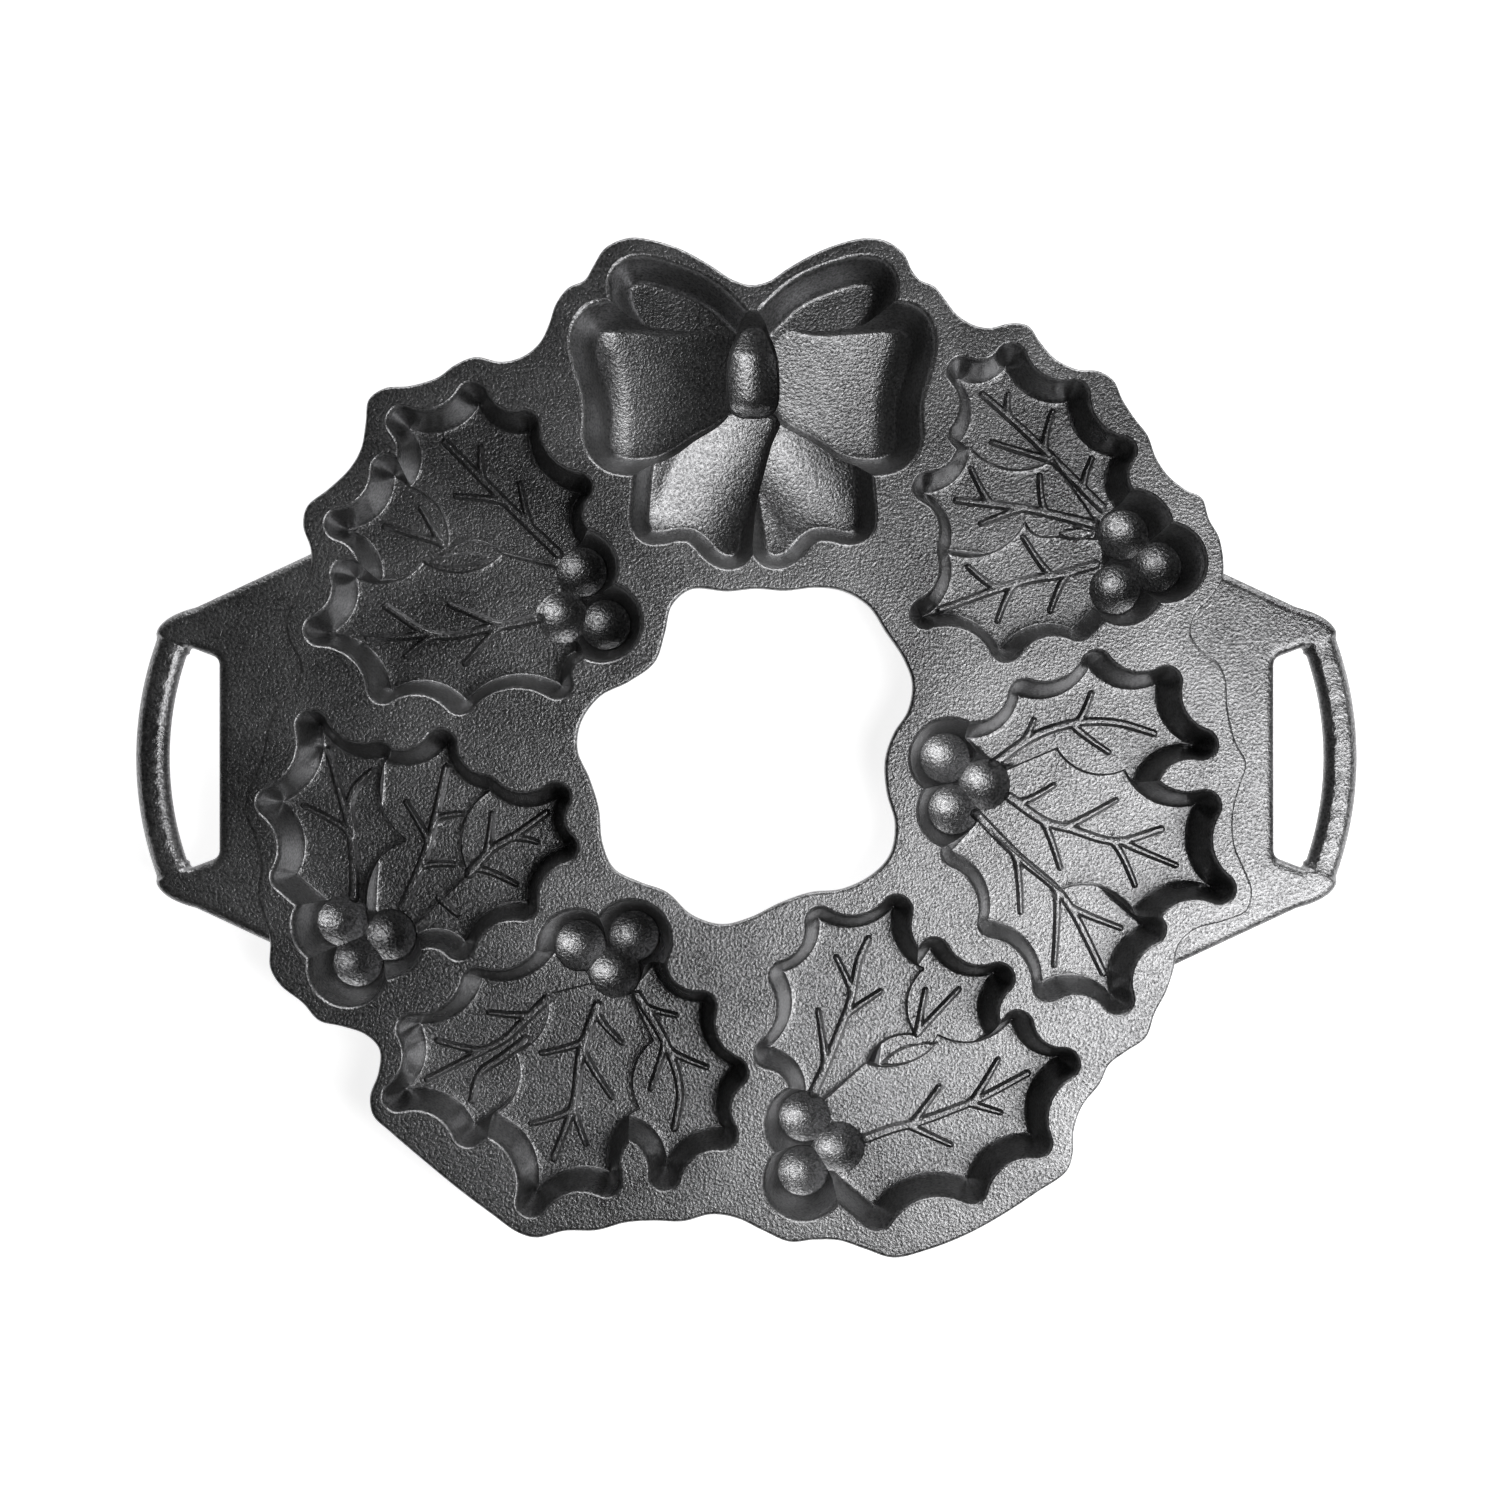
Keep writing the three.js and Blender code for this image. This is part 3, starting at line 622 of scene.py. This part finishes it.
def bentLine(start, corner, end, count):
    t = np.linspace(0, 1, count + 1)[:, None]
    return (1 - t) ** 2 * np.array(start) + 2 * t * (1 - t) * np.array(corner) + t ** 2 * np.array(end)


# Every hollow has a top surface, an outer skin and a mouth, all by distance from its edge

def outerWall(d, lowZ, start, end):
    slope = (-casting["deckThickness"] - lowZ) / (end - start)
    width = casting["outerRound"]
    return lowZ + slope * (ramp(d - start, width) - ramp(d - end, width))


def heights(hollows, kind, points):  # of every hollow's top or skin
    return np.array([h[kind](points, h["distance"](points)) for h in hollows])


def trough(edge, ringOf, floorAt, floorOf, lowZ, shape, floorRows):
    run, soft, lipRound = shape["run"], shape["floorRound"], casting["lipRound"]
    lip = floorAt + run
    mouth = lip + lipRound
    skinFoot, skinRound = floorAt + casting["cupWall"], casting["outerRound"]
    skinLow, skinEnd = lowZ - casting["floorThickness"], mouth + casting["ledge"]
    topRows = [floorAt + soft * k for k in floorRows]
    return {
        "distance": lambda p: signedDistance(p, edge),
        "top": lambda p, d: floorOf(p) * (1 - wallShare(d - floorAt, run, soft)),
        "skin": lambda p, d: outerWall(d, skinLow, skinFoot, skinEnd),
        "mouth": mouth,
        "ring": ringOf,
        "topRows": topRows + [lip + lipRound * k for k in casting["lipRows"]],
        "skinRows": [skinFoot - skinRound, skinFoot + skinRound],
    }


def leafHollow(leaf):
    edges = leafEdges(leaf)
    floorZ = leaf["layer"] * holly["leafStep"] - holly["depth"]
    return trough(leafRing(edges, 0), lambda d: leafRing(edges, d), holly["tipRadius"],
                  lambda p: floorZ, floorZ, holly, holly["floorRows"])


def berryHollow(middle):
    rim, depth = holly["berryRim"], holly["depth"]

    def ball(dip):  # radius and height of its middle
        radius = (rim ** 2 + dip ** 2) / (2 * dip)
        return radius, radius - depth - dip

    radius, centreZ = ball(holly["berryDip"])
    bossRadius, bossZ = ball(holly["bossDip"])
    footZ = casting["footGrind"] - casting["floorThickness"] - depth - holly["bossDip"]
    lip = rim + holly["run"]
    mouth = lip + casting["lipRound"]
    outer = bossRadius + casting["floorThickness"]
    turnAt = mouth - holly["bossTurn"]

    def topAt(p, d):
        bowl = centreZ - np.sqrt(np.maximum(radius ** 2 - np.minimum(d, rim) ** 2, 0))
        wall = -depth * (1 - wallShare(d - rim, holly["run"], holly["berryFoot"]))
        return np.where(d < rim, bowl, wall)

    def skinAt(p, d):
        boss = bossZ - np.sqrt(np.maximum(outer ** 2 - np.minimum(d, turnAt) ** 2, 0))
        lowZ = bossZ - math.sqrt(outer ** 2 - turnAt ** 2)
        wall = outerWall(d, lowZ, turnAt, mouth + casting["ledge"])
        return np.maximum(np.where(d < turnAt, boss, wall), footZ)

    flatAt = math.sqrt(outer ** 2 - (bossZ - footZ) ** 2)
    return {
        "distance": lambda p: norm(p - np.array(middle), axis=1),
        "top": topAt,
        "skin": skinAt,
        "mouth": mouth,
        "ring": lambda d: circle(middle, d),
        "topRows": [*holly["berryRows"], rim] + [lip + k for k in holly["berryLipRows"]],
        "skinRows": [flatAt, (flatAt + turnAt) / 2, turnAt, turnAt + casting["outerRound"]],
    }


def outsideMouth(hollows, points):  # below 0 inside the cup
    return np.min([h["distance"](points) - h["mouth"] for h in hollows], axis=0)


def placedOnFloor(points):
    return viewMiddle + (np.array(points, float) - viewMiddle) * holly["veinScale"]


def veinLines(cup):  # main veins first; a branch leaves its main vein along it and bends away
    step = holly["veinStep"]
    mains = [smoothLine(placedOnFloor(v), step, False) for v in cup["veins"] if len(v) > 2]
    lines = [(line, 1.0) for line in mains]
    for vein in cup["veins"]:
        if len(vein) > 2:
            continue
        corner, end = placedOnFloor(vein)
        start = corner
        main = min(mains, key=lambda line: norm(line - corner, axis=1).min())
        far = norm(main - corner, axis=1)
        at = int(far.argmin())
        if far[at] < holly["veinSnap"]:
            start = main[max(0, at - round(holly["veinJoin"] / step))]
        bend = start + (corner - start) * holly["branchPull"]
        count = math.ceil(norm(end - corner) / step)
        lines.append((bentLine(start, bend, end, count), holly["branchShare"]))
    return lines


def veinHalf(share, along):
    return holly["veinHalf"] * share * (1 - holly["veinTaper"] * along)


def veinRing(line, halves):  # both sides of a vein with its round ends
    right, left = offsetLine(line, halves, False), offsetLine(line, -halves, False)
    ends = []
    for middle, side in ((line[-1], right[-1]), (line[0], left[0])):
        x, y = side - middle
        turn = math.atan2(y, x) + np.linspace(0, math.pi, holly["veinEnd"])[1:-1]
        ends.append(around(middle, math.hypot(x, y), turn))
    return np.vstack([right, ends[0], left[::-1], ends[1]])


def veinRise(veins, points):
    flat = np.ones(len(points))  # 1 on the bare floor, 0 on a ridge; veins flow into each other
    for line, share in veins:
        near = isNear(points, line, holly["veinReach"])
        d, along = nearestOn(points[near], line, False)
        half = veinHalf(share, along)
        side = 1 - smoothStep(d, half - holly["veinSide"], half)
        crown = np.clip(1 - (d / half) ** 2, 0, 1)
        flat[near] *= 1 - side + holly["veinCrown"] * (side - crown)
    return holly["veinHeight"] * (1 - flat)


def gapRing(gap):  # a pointed oval
    start, end = placedOnFloor(gap[:2])
    bulge = rightOf(end - start) * 2 * gap[2]  # a bent line goes half way to its corner
    middle = (start + end) / 2
    count = math.ceil(norm(end - start) / holly["veinStep"])
    return turnedLeft(np.vstack([bentLine(start, middle + bulge, end, count)[:-1],
                                 bentLine(end, middle - bulge, start, count)[:-1]]))


def gapTop(rings, points):
    top = np.full(len(points), -farAway)
    for ring in rings:
        share = 1 - smoothStep(signedDistance(points, ring), -holly["veinSide"], 0)
        top = np.where(share > 0, holly["gapRise"] * share - holly["depth"], top)
    return top


def addRow(plan, hollow, hollows, kind, d):
    ring = hollow["ring"](d)
    own = hollow[kind](ring, hollow["distance"](ring))
    addLine(plan, ring, True, own - heights(hollows, kind, ring).min(0) < casting["keepWithin"])


def addMouth(plan, hollow, hollows):
    ring = hollow["ring"](hollow["mouth"])
    addLine(plan, ring, True, outsideMouth(hollows, ring) > -casting["sampling"])


def makeCup(name, node, fill, lines, topOf):
    hollows = cupHollows[name]

    def isCup(p):
        return outsideMouth(hollows, p) < 0

    plan = newPlan()
    for hollow in hollows:
        for kind in ("top", "skin"):
            for d in hollow[kind + "Rows"]:
                addRow(plan, hollow, hollows, kind, d)
        addMouth(plan, hollow, hollows)
    for line, closed in lines:
        addLine(plan, line, closed)
    dropLoosePoints(plan)
    fillPlan(plan, isCup, fill)
    addCreases(plan, hollows)
    castPiece(name, plan, isCup, topOf, lambda p: heights(hollows, "skin", p).min(0), [node])


def makeHollyCup(name, cup):
    veins = veinLines(cup)
    gaps = [gapRing(gap) for gap in cup.get("gaps", [])]
    side = holly["veinSide"]
    lines = []
    for line, share in veins:
        halves = veinHalf(share, np.linspace(0, 1, len(line)))
        lines.append((line, False))
        lines += [(veinRing(line, halves - inset * side), True) for inset in holly["veinRows"]]
    for ring in gaps:
        lines += [(ring, True), (offsetLine(ring, -side, True), True)]

    def topOf(p):
        z = heights(cupHollows[name], "top", p).min(0)
        onFloor = smoothStep(-z, *(holly["depth"] - high for high in holly["veinFade"]))
        return np.maximum(z + veinRise(veins, p) * onFloor, gapTop(gaps, p))

    makeCup(name, cup["node"], holly["fill"], lines, topOf)


# Bow cup: two big loops, two upper loops, two tails and the knot, each a trough of its own

bow = {  # a slope starts at the first value and has risen by the third at the second; the last is a limit
    "axis": 2.0,
    "fill": 1.7,
    "floorRows": (-1, -0.5, 0, 0.5, 1),
    "loop": {
        "edge": [(7.3, 107), (7, 131), (25, 132.2), (44, 133.5), (49, 132.5), (50.8, 128), (49.5, 120),
                 (46.6, 110), (46.3, 103), (46.5, 97.5), (45, 94), (41.5, 92.4), (30.4, 92.9), (19.7, 99)],
        "depth": 20.6, "run": 6.5, "floorRound": 1.2,
        "knotSlope": (39, 9, 4.4, 1.1), "endSlope": (38.4, 47.4, 4.2, 1.3), "topSlope": (96, 130, 3.4, 1.2),
        "topPower": 1.3,
        "endLean": (106, 128, 4.4, 1),  # the outer end leans out at its top
    },
    "upperLoop": {
        "edge": [(5, 130), (10, 136.5), (16, 141.5), (25, 145.6), (34.5, 148), (38.6, 147), (39, 142.5),
                 (34, 134), (20, 128)],
        "depth": 13.8, "run": 6.0, "floorRound": 1.2,
        "knotSlope": (26, 6, 1.6, 1),
    },
    "tail": {
        "edge": [(4.2, 62.6), (6, 60.9), (8.6, 60.9), (11.5, 62.5), (15, 66.4), (19, 69.2), (24, 69.6),
                 (30, 68.5), (33, 69.2), (33.8, 72), (33.3, 79), (32, 90), (26, 103)],
        "run": 4.5, "floorRound": 1.2,
        "from": (2, 104), "along": (18, -38), "sideSlope": (0, 14, 2.4, 1.4),
    },
    "leftTail": {  # lies in front and crosses the middle line
        "inner": [(4, 107), (-7.4, 105), (-4.8, 96), (-2.2, 86.5), (0.6, 77), (3.2, 68)],
        "depth": 19.2, "lean": -5, "knotSlope": (66, 104, 3.4, 1.1),
    },
    "rightTail": {
        "inner": [(9, 106), (0.6, 95), (1.6, 78), (3.2, 68)],
        "depth": 18.2, "lean": 10, "knotSlope": (66, 104, 7.4, 1.1),
    },
    "knot": {
        "edge": [(-3, 133.5), (3, 133.5), (5.6, 129.4), (7.6, 123.5), (8.2, 116), (7.7, 109), (5, 105.8),
                 (0, 105.2), (-5, 105.8), (-7.7, 109), (-8.2, 116), (-7.6, 123.5), (-5.6, 129.4)],
        "depth": 21.4, "run": 2.5, "floorRound": 0.6,
        "sideSlope": (0, 8.2, 3.6, 1.1), "topSlope": (108, 126, 2.4, 1),
        "footSlope": (112, 105.5, 3.2, 1.1), "facet": (126, 138, 9, 1),
    },
}


def risen(x, slope, power=2):
    start, end, rise, most = slope
    return rise * np.clip((x - start) / (end - start), 0, most) ** power


def loopRise(u, y, loop):  # highest by the knot, lowest past the middle, rising again to the outer end
    outer = risen(u - risen(y, loop["endLean"]), loop["endSlope"])
    return risen(u, loop["knotSlope"]) + outer + risen(y, loop["topSlope"], loop["topPower"])


def upperLoopRise(u, y, loop):
    return risen(u, loop["knotSlope"])


def tailRise(u, y, tail):  # a trough along the line from the knot to the tail's end, rising to the knot
    alongU, alongY = np.array(tail["along"]) / math.hypot(*tail["along"])
    fromU, fromY = tail["from"]
    across = (u - fromU) * -alongY + (y - fromY) * alongU - tail["lean"]
    return risen(np.abs(across), tail["sideSlope"]) + risen(y, tail["knotSlope"])


def knotRise(u, y, knot):  # round both ways, with a slanting facet at the top
    along = risen(y, knot["topSlope"]) + risen(y, knot["footSlope"]) + risen(y, knot["facet"], 1)
    return risen(np.abs(u), knot["sideSlope"]) + along


def bowHollow(shape, side, riseOf):
    points = [(bow["axis"] + side * u, y) for u, y in shape["edge"]]
    edge = turnedLeft(smoothLine(points, casting["sampling"], True))

    def floorOf(p):
        return riseOf((p[:, 0] - bow["axis"]) * side, p[:, 1], shape) - shape["depth"]

    return trough(edge, lambda d: offsetLine(edge, d, True), 0, floorOf, -shape["depth"], shape,
                  bow["floorRows"])


def bowHollows():
    hollows = []
    for side, tailName in ((-1, "leftTail"), (1, "rightTail")):
        tail = {**bow["tail"], **bow[tailName]}
        tail["edge"] = tail["edge"] + tail["inner"]
        hollows.append(bowHollow(bow["loop"], side, loopRise))
        hollows.append(bowHollow(bow["upperLoop"], side, upperLoopRise))
        hollows.append(bowHollow(tail, side, tailRise))
    return hollows + [bowHollow(bow["knot"], 1, knotRise)]


# Ring plate: a flat deck with round edges, lobed outside and inside, with a mouth for each cup

plate = {
    "edge": [
        (1.5, 145.2), (7, 146.4), (13, 150.4), (20, 154.4), (28, 157.8), (37, 159.9), (44, 159),
        (49.5, 155), (52, 149.8), (54.5, 146.8), (59, 144.8), (62.3, 140.8), (66, 136), (71, 132.8),
        (76, 131.7), (83, 133.2), (88.5, 132.4), (92, 127.6), (97, 122), (104, 118.7), (110.5, 118.2),
        (115.3, 115.2), (118, 109.4), (122, 103.2), (126, 98), (128.6, 91), (132.4, 85.4), (138, 80.9),
        (143, 78.4), (145.3, 71.6), (148.4, 66), (149.8, 58), (149.2, 52), (145.5, 46.5), (141, 41.6),
        (139.6, 36), (142.5, 31), (148, 26.8), (150.4, 22), (151.2, 12), (153.6, 2), (157, -5),
        (155, -12), (153, -20), (153.2, -30), (156.4, -38), (158.8, -45), (157, -51.4), (150, -54.6),
        (140.5, -57.4), (135.8, -62), (134, -70), (131.6, -77), (128.2, -83.4), (125.4, -91),
        (119, -95.6), (113.8, -99.6), (111, -105.4), (105.4, -112.6), (102.8, -120), (102.4, -128),
        (100.4, -133.2), (91, -139.8), (80, -147), (69, -153), (57, -157.7), (46, -160.2), (37.5, -157.6),
        (29, -154.8), (21, -154.6), (13.5, -155.2), (5, -151.6), (-3, -147.8), (-11, -146.6),
        (-20, -148.8), (-29, -148.6), (-38, -149.2), (-47, -151.6), (-57, -151.8), (-66, -153.9),
        (-72, -152.2), (-80, -146.5), (-90, -139), (-101, -130), (-112, -120.6), (-117.2, -115.6),
        (-118.2, -109.6), (-115.6, -102), (-115.3, -94.8), (-119.6, -90.2), (-127, -87.6),
        (-134.2, -85.8), (-139.4, -80.2), (-146.4, -74.6), (-149.6, -69), (-149.6, -61), (-151.4, -54),
        (-153.6, -46), (-152.6, -37), (-154.4, -28.4), (-157.8, -20), (-156, -12), (-152.4, -3),
        (-150.4, 6), (-147.4, 13.4), (-142, 18.6), (-140.2, 26), (-143.6, 33), (-144.8, 40), (-141.6, 47),
        (-137.4, 54), (-136.8, 62), (-139.2, 69.6), (-138, 75.6), (-131, 81.4), (-124.6, 87.6),
        (-121, 94), (-119.6, 102), (-118.6, 109.2), (-113.6, 112.8), (-106, 113.5), (-97, 116.2),
        (-91.4, 120.2), (-85, 122.6), (-77, 121.1), (-70.4, 122.7), (-65, 127), (-62, 133), (-60, 139),
        (-56, 144.3), (-50.8, 146.8), (-48, 151.4), (-44.4, 156.8), (-37, 160), (-29, 159.2),
        (-20, 156.2), (-11, 151.2), (-4.6, 147),
    ],
    "hole": [
        (-17.5, 49.6), (-6, 49), (3, 49.8), (12, 49.2), (22, 50.2), (30.5, 49), (38.4, 44.2),
        (43.6, 36.4), (49.2, 28), (52, 20), (50.6, 11.4), (46.2, 4.4), (43.5, -4), (44, -14), (46.6, -24),
        (45, -33.6), (39.2, -40), (30, -44.4), (20, -45.5), (10.4, -48.8), (1, -53.4), (-8, -55.5),
        (-17.4, -52.4), (-25, -45.4), (-34, -42), (-41.6, -38), (-45.2, -30), (-46.4, -19), (-49.4, -9.4),
        (-53, -1), (-52, 7.8), (-46, 16), (-37, 20.6), (-28.8, 26.8), (-25.6, 36), (-23.4, 44.6),
    ],
    "fill": 4.5,
    "roundRows": (0.0, 0.04, 0.15, 0.35, 0.7, 1.1),  # rows of points over the round edge
    "flareRows": (0.4, 0.8, 1.3),  # and over the flare of a cup wall, outside its mouth
}
plateEdge = turnedLeft(smoothLine(plate["edge"], casting["sampling"], True))
holeEdge = turnedLeft(smoothLine(plate["hole"], casting["sampling"], True))


def roundEdge(inset, radius):  # 0 on the edge, 1 from one radius inwards
    near = 1 - np.clip(inset / radius, 0, 1)
    return np.sqrt(1 - near ** 2)


def makeRingPlate():
    hollows = [h for group in cupHollows.values() for h in group]
    plan = newPlan()
    for inset in plate["roundRows"]:
        addLine(plan, offsetLine(plateEdge, -inset, True), True)
        addLine(plan, offsetLine(holeEdge, inset, True), True)
    for group in cupHollows.values():
        for hollow in group:
            addMouth(plan, hollow, group)
            for beyond in plate["flareRows"]:
                addRow(plan, hollow, group, "skin", hollow["mouth"] + beyond)
    dropLoosePoints(plan)

    def isDeck(p):
        onPlate = isInside(p, plateEdge) & ~isInside(p, holeEdge)
        return onPlate & (outsideMouth(hollows, p) > 0)

    fillPlan(plan, isDeck, plate["fill"])

    def edgeDrop(p):
        inset = np.minimum(distanceTo(p, plateEdge, True), distanceTo(p, holeEdge, True))
        return casting["deckRound"] * (1 - roundEdge(inset, casting["deckRound"]))

    def bottomOf(p):
        return np.minimum(-casting["deckThickness"], heights(hollows, "skin", p).min(0)) + edgeDrop(p)

    castPiece("ringPlate", plan, isDeck, lambda p: -edgeDrop(p), bottomOf, ["ring_plate"])


# Handles: a plate a little below the deck that runs into a bowed bar round the hand slot

handle = {
    "middle": -3.2,  # y
    "drop": 0.5,
    "thickness": 4.5,
    "plateRound": 3.2,
    "slope": 0.465,
    "root": 132,
    "shoulder": 180,
    "shoulderHalf": 44.1,
    "shoulderRound": 7,
    "slotInner": 165.8,
    "slotCorner": 2.2,
    "reach": 192.5,
    "gripWidth": 10.5,
    "gripHeight": 8.6,
    "gripDrop": 0.2,
    "gripBend": 104.5,
    "slotHalfAngle": math.radians(20.6),
    "seam": math.radians(0.4),  # half the turn over which the plate becomes the grip
    "gripBlend": (6, 1),  # from plate to grip, over this far inside the grip
    "tuck": 3.0,  # how far the plate runs into the ring plate's edge
    "rootTrim": 1,  # rows of points over the round edge stop this far from the root
    "roundRows": (0.0, 0.08, 0.3, 0.8, 1.6, 2.4, 3.2),
    "seamInset": 0.4,
    "shoulderPoints": 14,
    "cornerPoints": 6,
    "fill": 2.6,
}


def roundedRing(corners, radius):
    ring = []
    for before, at, after in zip(corners[-1:] + corners[:-1], corners, corners[1:] + corners[:1]):
        start = at + (before - at) * radius / norm(before - at)
        end = at + (after - at) * radius / norm(after - at)
        ring.append(bentLine(start, at, end, handle["cornerPoints"]))
    return ring


def makeHandle(name, side, nodes):
    h = handle
    outerRadius = h["gripBend"] + h["gripWidth"] / 2
    innerRadius = h["gripBend"] - h["gripWidth"] / 2
    centreX = h["reach"] - outerRadius
    plateMiddle = -h["drop"] - h["thickness"] / 2
    gripMiddle = -h["gripDrop"] - h["drop"] - h["gripHeight"] / 2

    def arc(radius, halfAngle):
        angle = np.linspace(-halfAngle, halfAngle, math.ceil(2 * halfAngle * radius / casting["sampling"]))
        return around((centreX, 0), radius, angle)

    def placed(line):
        return line * side + (0, h["middle"])

    shoulderAngle = math.asin((h["shoulderHalf"] - h["shoulderRound"]) / outerRadius)
    front = arc(outerRadius, shoulderAngle)

    def onSide(inside):  # a point of the straight side, by how far it is inside the shoulder
        return np.array([h["shoulder"] - inside, h["shoulderHalf"] + h["slope"] * inside])

    roundStart, root = onSide(h["shoulderRound"]), onSide(h["shoulder"] - h["root"])
    upper = np.vstack([
        bentLine(front[-1], (front[-1, 0], h["shoulderHalf"]), roundStart, h["shoulderPoints"]),
        straightEdge(roundStart, root)[0][1:],
    ])
    outline = placed(np.vstack([upper[::-1] * (1, -1), front[1:-1], upper]))

    slotEnd = arc(innerRadius, h["slotHalfAngle"])
    way = slotEnd[-1] - (centreX, 0)
    inner = (centreX, 0) + way * (h["slotInner"] - centreX) / way[0]
    corners = roundedRing([inner, inner * (1, -1), slotEnd[0], slotEnd[-1]], h["slotCorner"])
    keptArc = slotEnd[np.abs(np.arctan2(slotEnd[:, 1], slotEnd[:, 0] - centreX))
                      < h["slotHalfAngle"] - h["slotCorner"] / innerRadius]
    straight = straightEdge(corners[0][-1], corners[1][0])[0][1:-1]
    slot = placed(np.vstack([corners[0], straight, corners[1], corners[2], keptArc, corners[3]]))
    outline, slot = turnedLeft(outline), turnedLeft(slot)
    tuckEdge = offsetLine(plateEdge, -h["tuck"], True)

    plan = newPlan()
    isOpen = np.abs(outline[:, 0]) > h["root"] + h["rootTrim"]
    for inset in h["roundRows"]:
        addLine(plan, offsetLine(outline, -inset, True), True, isOpen if inset else None)
        addLine(plan, offsetLine(slot, inset, True), True)
    addLine(plan, tuckEdge, True, isInside(tuckEdge, outline))
    radii = np.arange(innerRadius + h["seamInset"], outerRadius - h["seamInset"], casting["sampling"])
    for turn in (-1, 1):
        for shift in (-h["seam"], 0, h["seam"]):
            angle = turn * (h["slotHalfAngle"] + shift)
            seam = placed(np.column_stack([centreX + radii * math.cos(angle), radii * math.sin(angle)]))
            addLine(plan, seam, False, isInside(seam, outline) & ~isInside(seam, slot))
    dropLoosePoints(plan)

    def isPlate(p):
        return isInside(p, outline) & ~isInside(p, slot) & ~isInside(p, tuckEdge)

    fillPlan(plan, isPlate, h["fill"])

    def gripShare(p):
        x, y = np.abs(p[:, 0]) - centreX, p[:, 1] - h["middle"]
        angle = np.abs(np.arctan2(y, x))
        along = 1 - smoothStep(angle, h["slotHalfAngle"] - h["seam"], h["slotHalfAngle"] + h["seam"])
        return along * smoothStep(np.hypot(x, y), *(innerRadius - inside for inside in h["gripBlend"]))

    openEdge = outline[isOpen]
    breaks = norm(np.roll(openEdge, -1, 0) - openEdge, axis=1)
    openEdge = np.roll(openEdge, -1 - int(breaks.argmax()), 0)  # starts past the root

    def surface(p, way):
        share = gripShare(p)
        inset = np.minimum(distanceTo(p, openEdge, False), distanceTo(p, slot, True))
        radius = h["plateRound"] + (h["gripWidth"] / 2 - h["plateRound"]) * share
        halfHigh = h["thickness"] / 2 + (h["gripHeight"] - h["thickness"]) / 2 * share
        middle = plateMiddle + (gripMiddle - plateMiddle) * share
        return middle + way * halfHigh * roundEdge(inset, radius)

    castPiece(name, plan, isPlate, lambda p: surface(p, 1), lambda p: surface(p, -1), nodes)


cupHollows = {}
for name, cup in hollyCups.items():
    cupHollows[name] = [leafHollow(leaf) for leaf in cup["leaves"]]
    cupHollows[name] += [berryHollow(berry) for berry in cup["berries"]]
    makeHollyCup(name, cup)
cupHollows["bowCup"] = bowHollows()
makeCup("bowCup", "bow_cup", bow["fill"], [], lambda p: heights(cupHollows["bowCup"], "top", p).min(0))
makeRingPlate()
makeHandle("rightHandle", 1, ["right_handle_plate", "right_grip"])
makeHandle("leftHandle", -1, ["left_handle_plate", "left_grip"])
print("casting done")

# Floor, light and camera

studio = {
    "floorRadius": 15.0,
    "floorSides": 96,
    "floorRim": 1.2,  # closes the view to the side
    "floorColour": (0.86, 0.86, 0.86, 1),
    "floorRough": 0.9,
    "floorSpecular": 0.1,
    "floorGlow": 0.84,
    "lamps": {  # the key is a strip softbox on the right, long from front to back
        "key": {"place": (0.37, -0.19, 0.57), "power": 4.2, "size": (0.3, 0.65)},
        "rim": {"place": (0.2, 1.1, 0.45), "power": 13, "size": (1.8, 0.35)},
    },
    "worldLight": 0.015,
    "sensor": 36,
    "cameraHeight": 0.8,  # over the deck
    "viewWidth": 0.4703,  # at the deck
}


def lightPath(tree, names):
    path = tree.nodes.new("ShaderNodeLightPath")
    total = path.outputs[names[0]]
    for name in names[1:]:
        total = mathNode(tree, "MAXIMUM", total, path.outputs[name])
    return total


def makeFloor():
    mesh = bpy.data.meshes.new("floor")
    bm = bmesh.new()
    bmesh.ops.create_circle(bm, cap_ends=True, segments=studio["floorSides"], radius=studio["floorRadius"])
    grown = bmesh.ops.extrude_edge_only(bm, edges=bm.edges[:])
    rim = [v for v in grown["geom"] if isinstance(v, bmesh.types.BMVert)]
    bmesh.ops.translate(bm, verts=rim, vec=(0, 0, studio["floorRim"]))
    bm.to_mesh(mesh)
    bm.free()
    mat, tree, shader = newMaterial("paleFloor")
    shader.inputs["Base Color"].default_value = studio["floorColour"]
    shader.inputs["Roughness"].default_value = studio["floorRough"]
    shader.inputs["Specular IOR Level"].default_value = studio["floorSpecular"]
    shader.inputs["Emission Color"].default_value = (1, 1, 1, 1)
    seen = lightPath(tree, ["Is Camera Ray", "Is Glossy Ray", "Is Transmission Ray"])
    glow = mathNode(tree, "MULTIPLY", seen, studio["floorGlow"])
    tree.links.new(glow, shader.inputs["Emission Strength"])
    mesh.materials.append(mat)
    floor = newObject("floor", mesh)


def makeLamp(name, place, power, size):
    data = bpy.data.lights.new(name, "AREA")
    data.energy = power
    data.shape = "RECTANGLE"
    data.size, data.size_y = size
    lamp = newObject(name, data)
    lamp.location = place
    lamp.rotation_euler = (-Vector(place)).to_track_quat("-Z", "Y").to_euler()


def makeWorld():
    world = bpy.data.worlds.new("studioWorld")
    bpy.context.scene.world = world
    world.use_nodes = True
    background = world.node_tree.nodes["Background"]
    background.inputs["Color"].default_value = (1, 1, 1, 1)
    background.inputs["Strength"].default_value = studio["worldLight"]


def makeCamera():
    data = bpy.data.cameras.new("camera")
    data.sensor_width = studio["sensor"]
    data.lens = data.sensor_width * studio["cameraHeight"] / studio["viewWidth"]
    camera = newObject("camera", data)
    camera.location = (*(viewMiddle * mm), deckTop + studio["cameraHeight"])
    bpy.context.scene.camera = camera


makeFloor()
for name, lamp in studio["lamps"].items():
    makeLamp(name, **lamp)
makeWorld()
makeCamera()
bpy.context.scene.view_settings.view_transform = "Standard"
print("studio done")
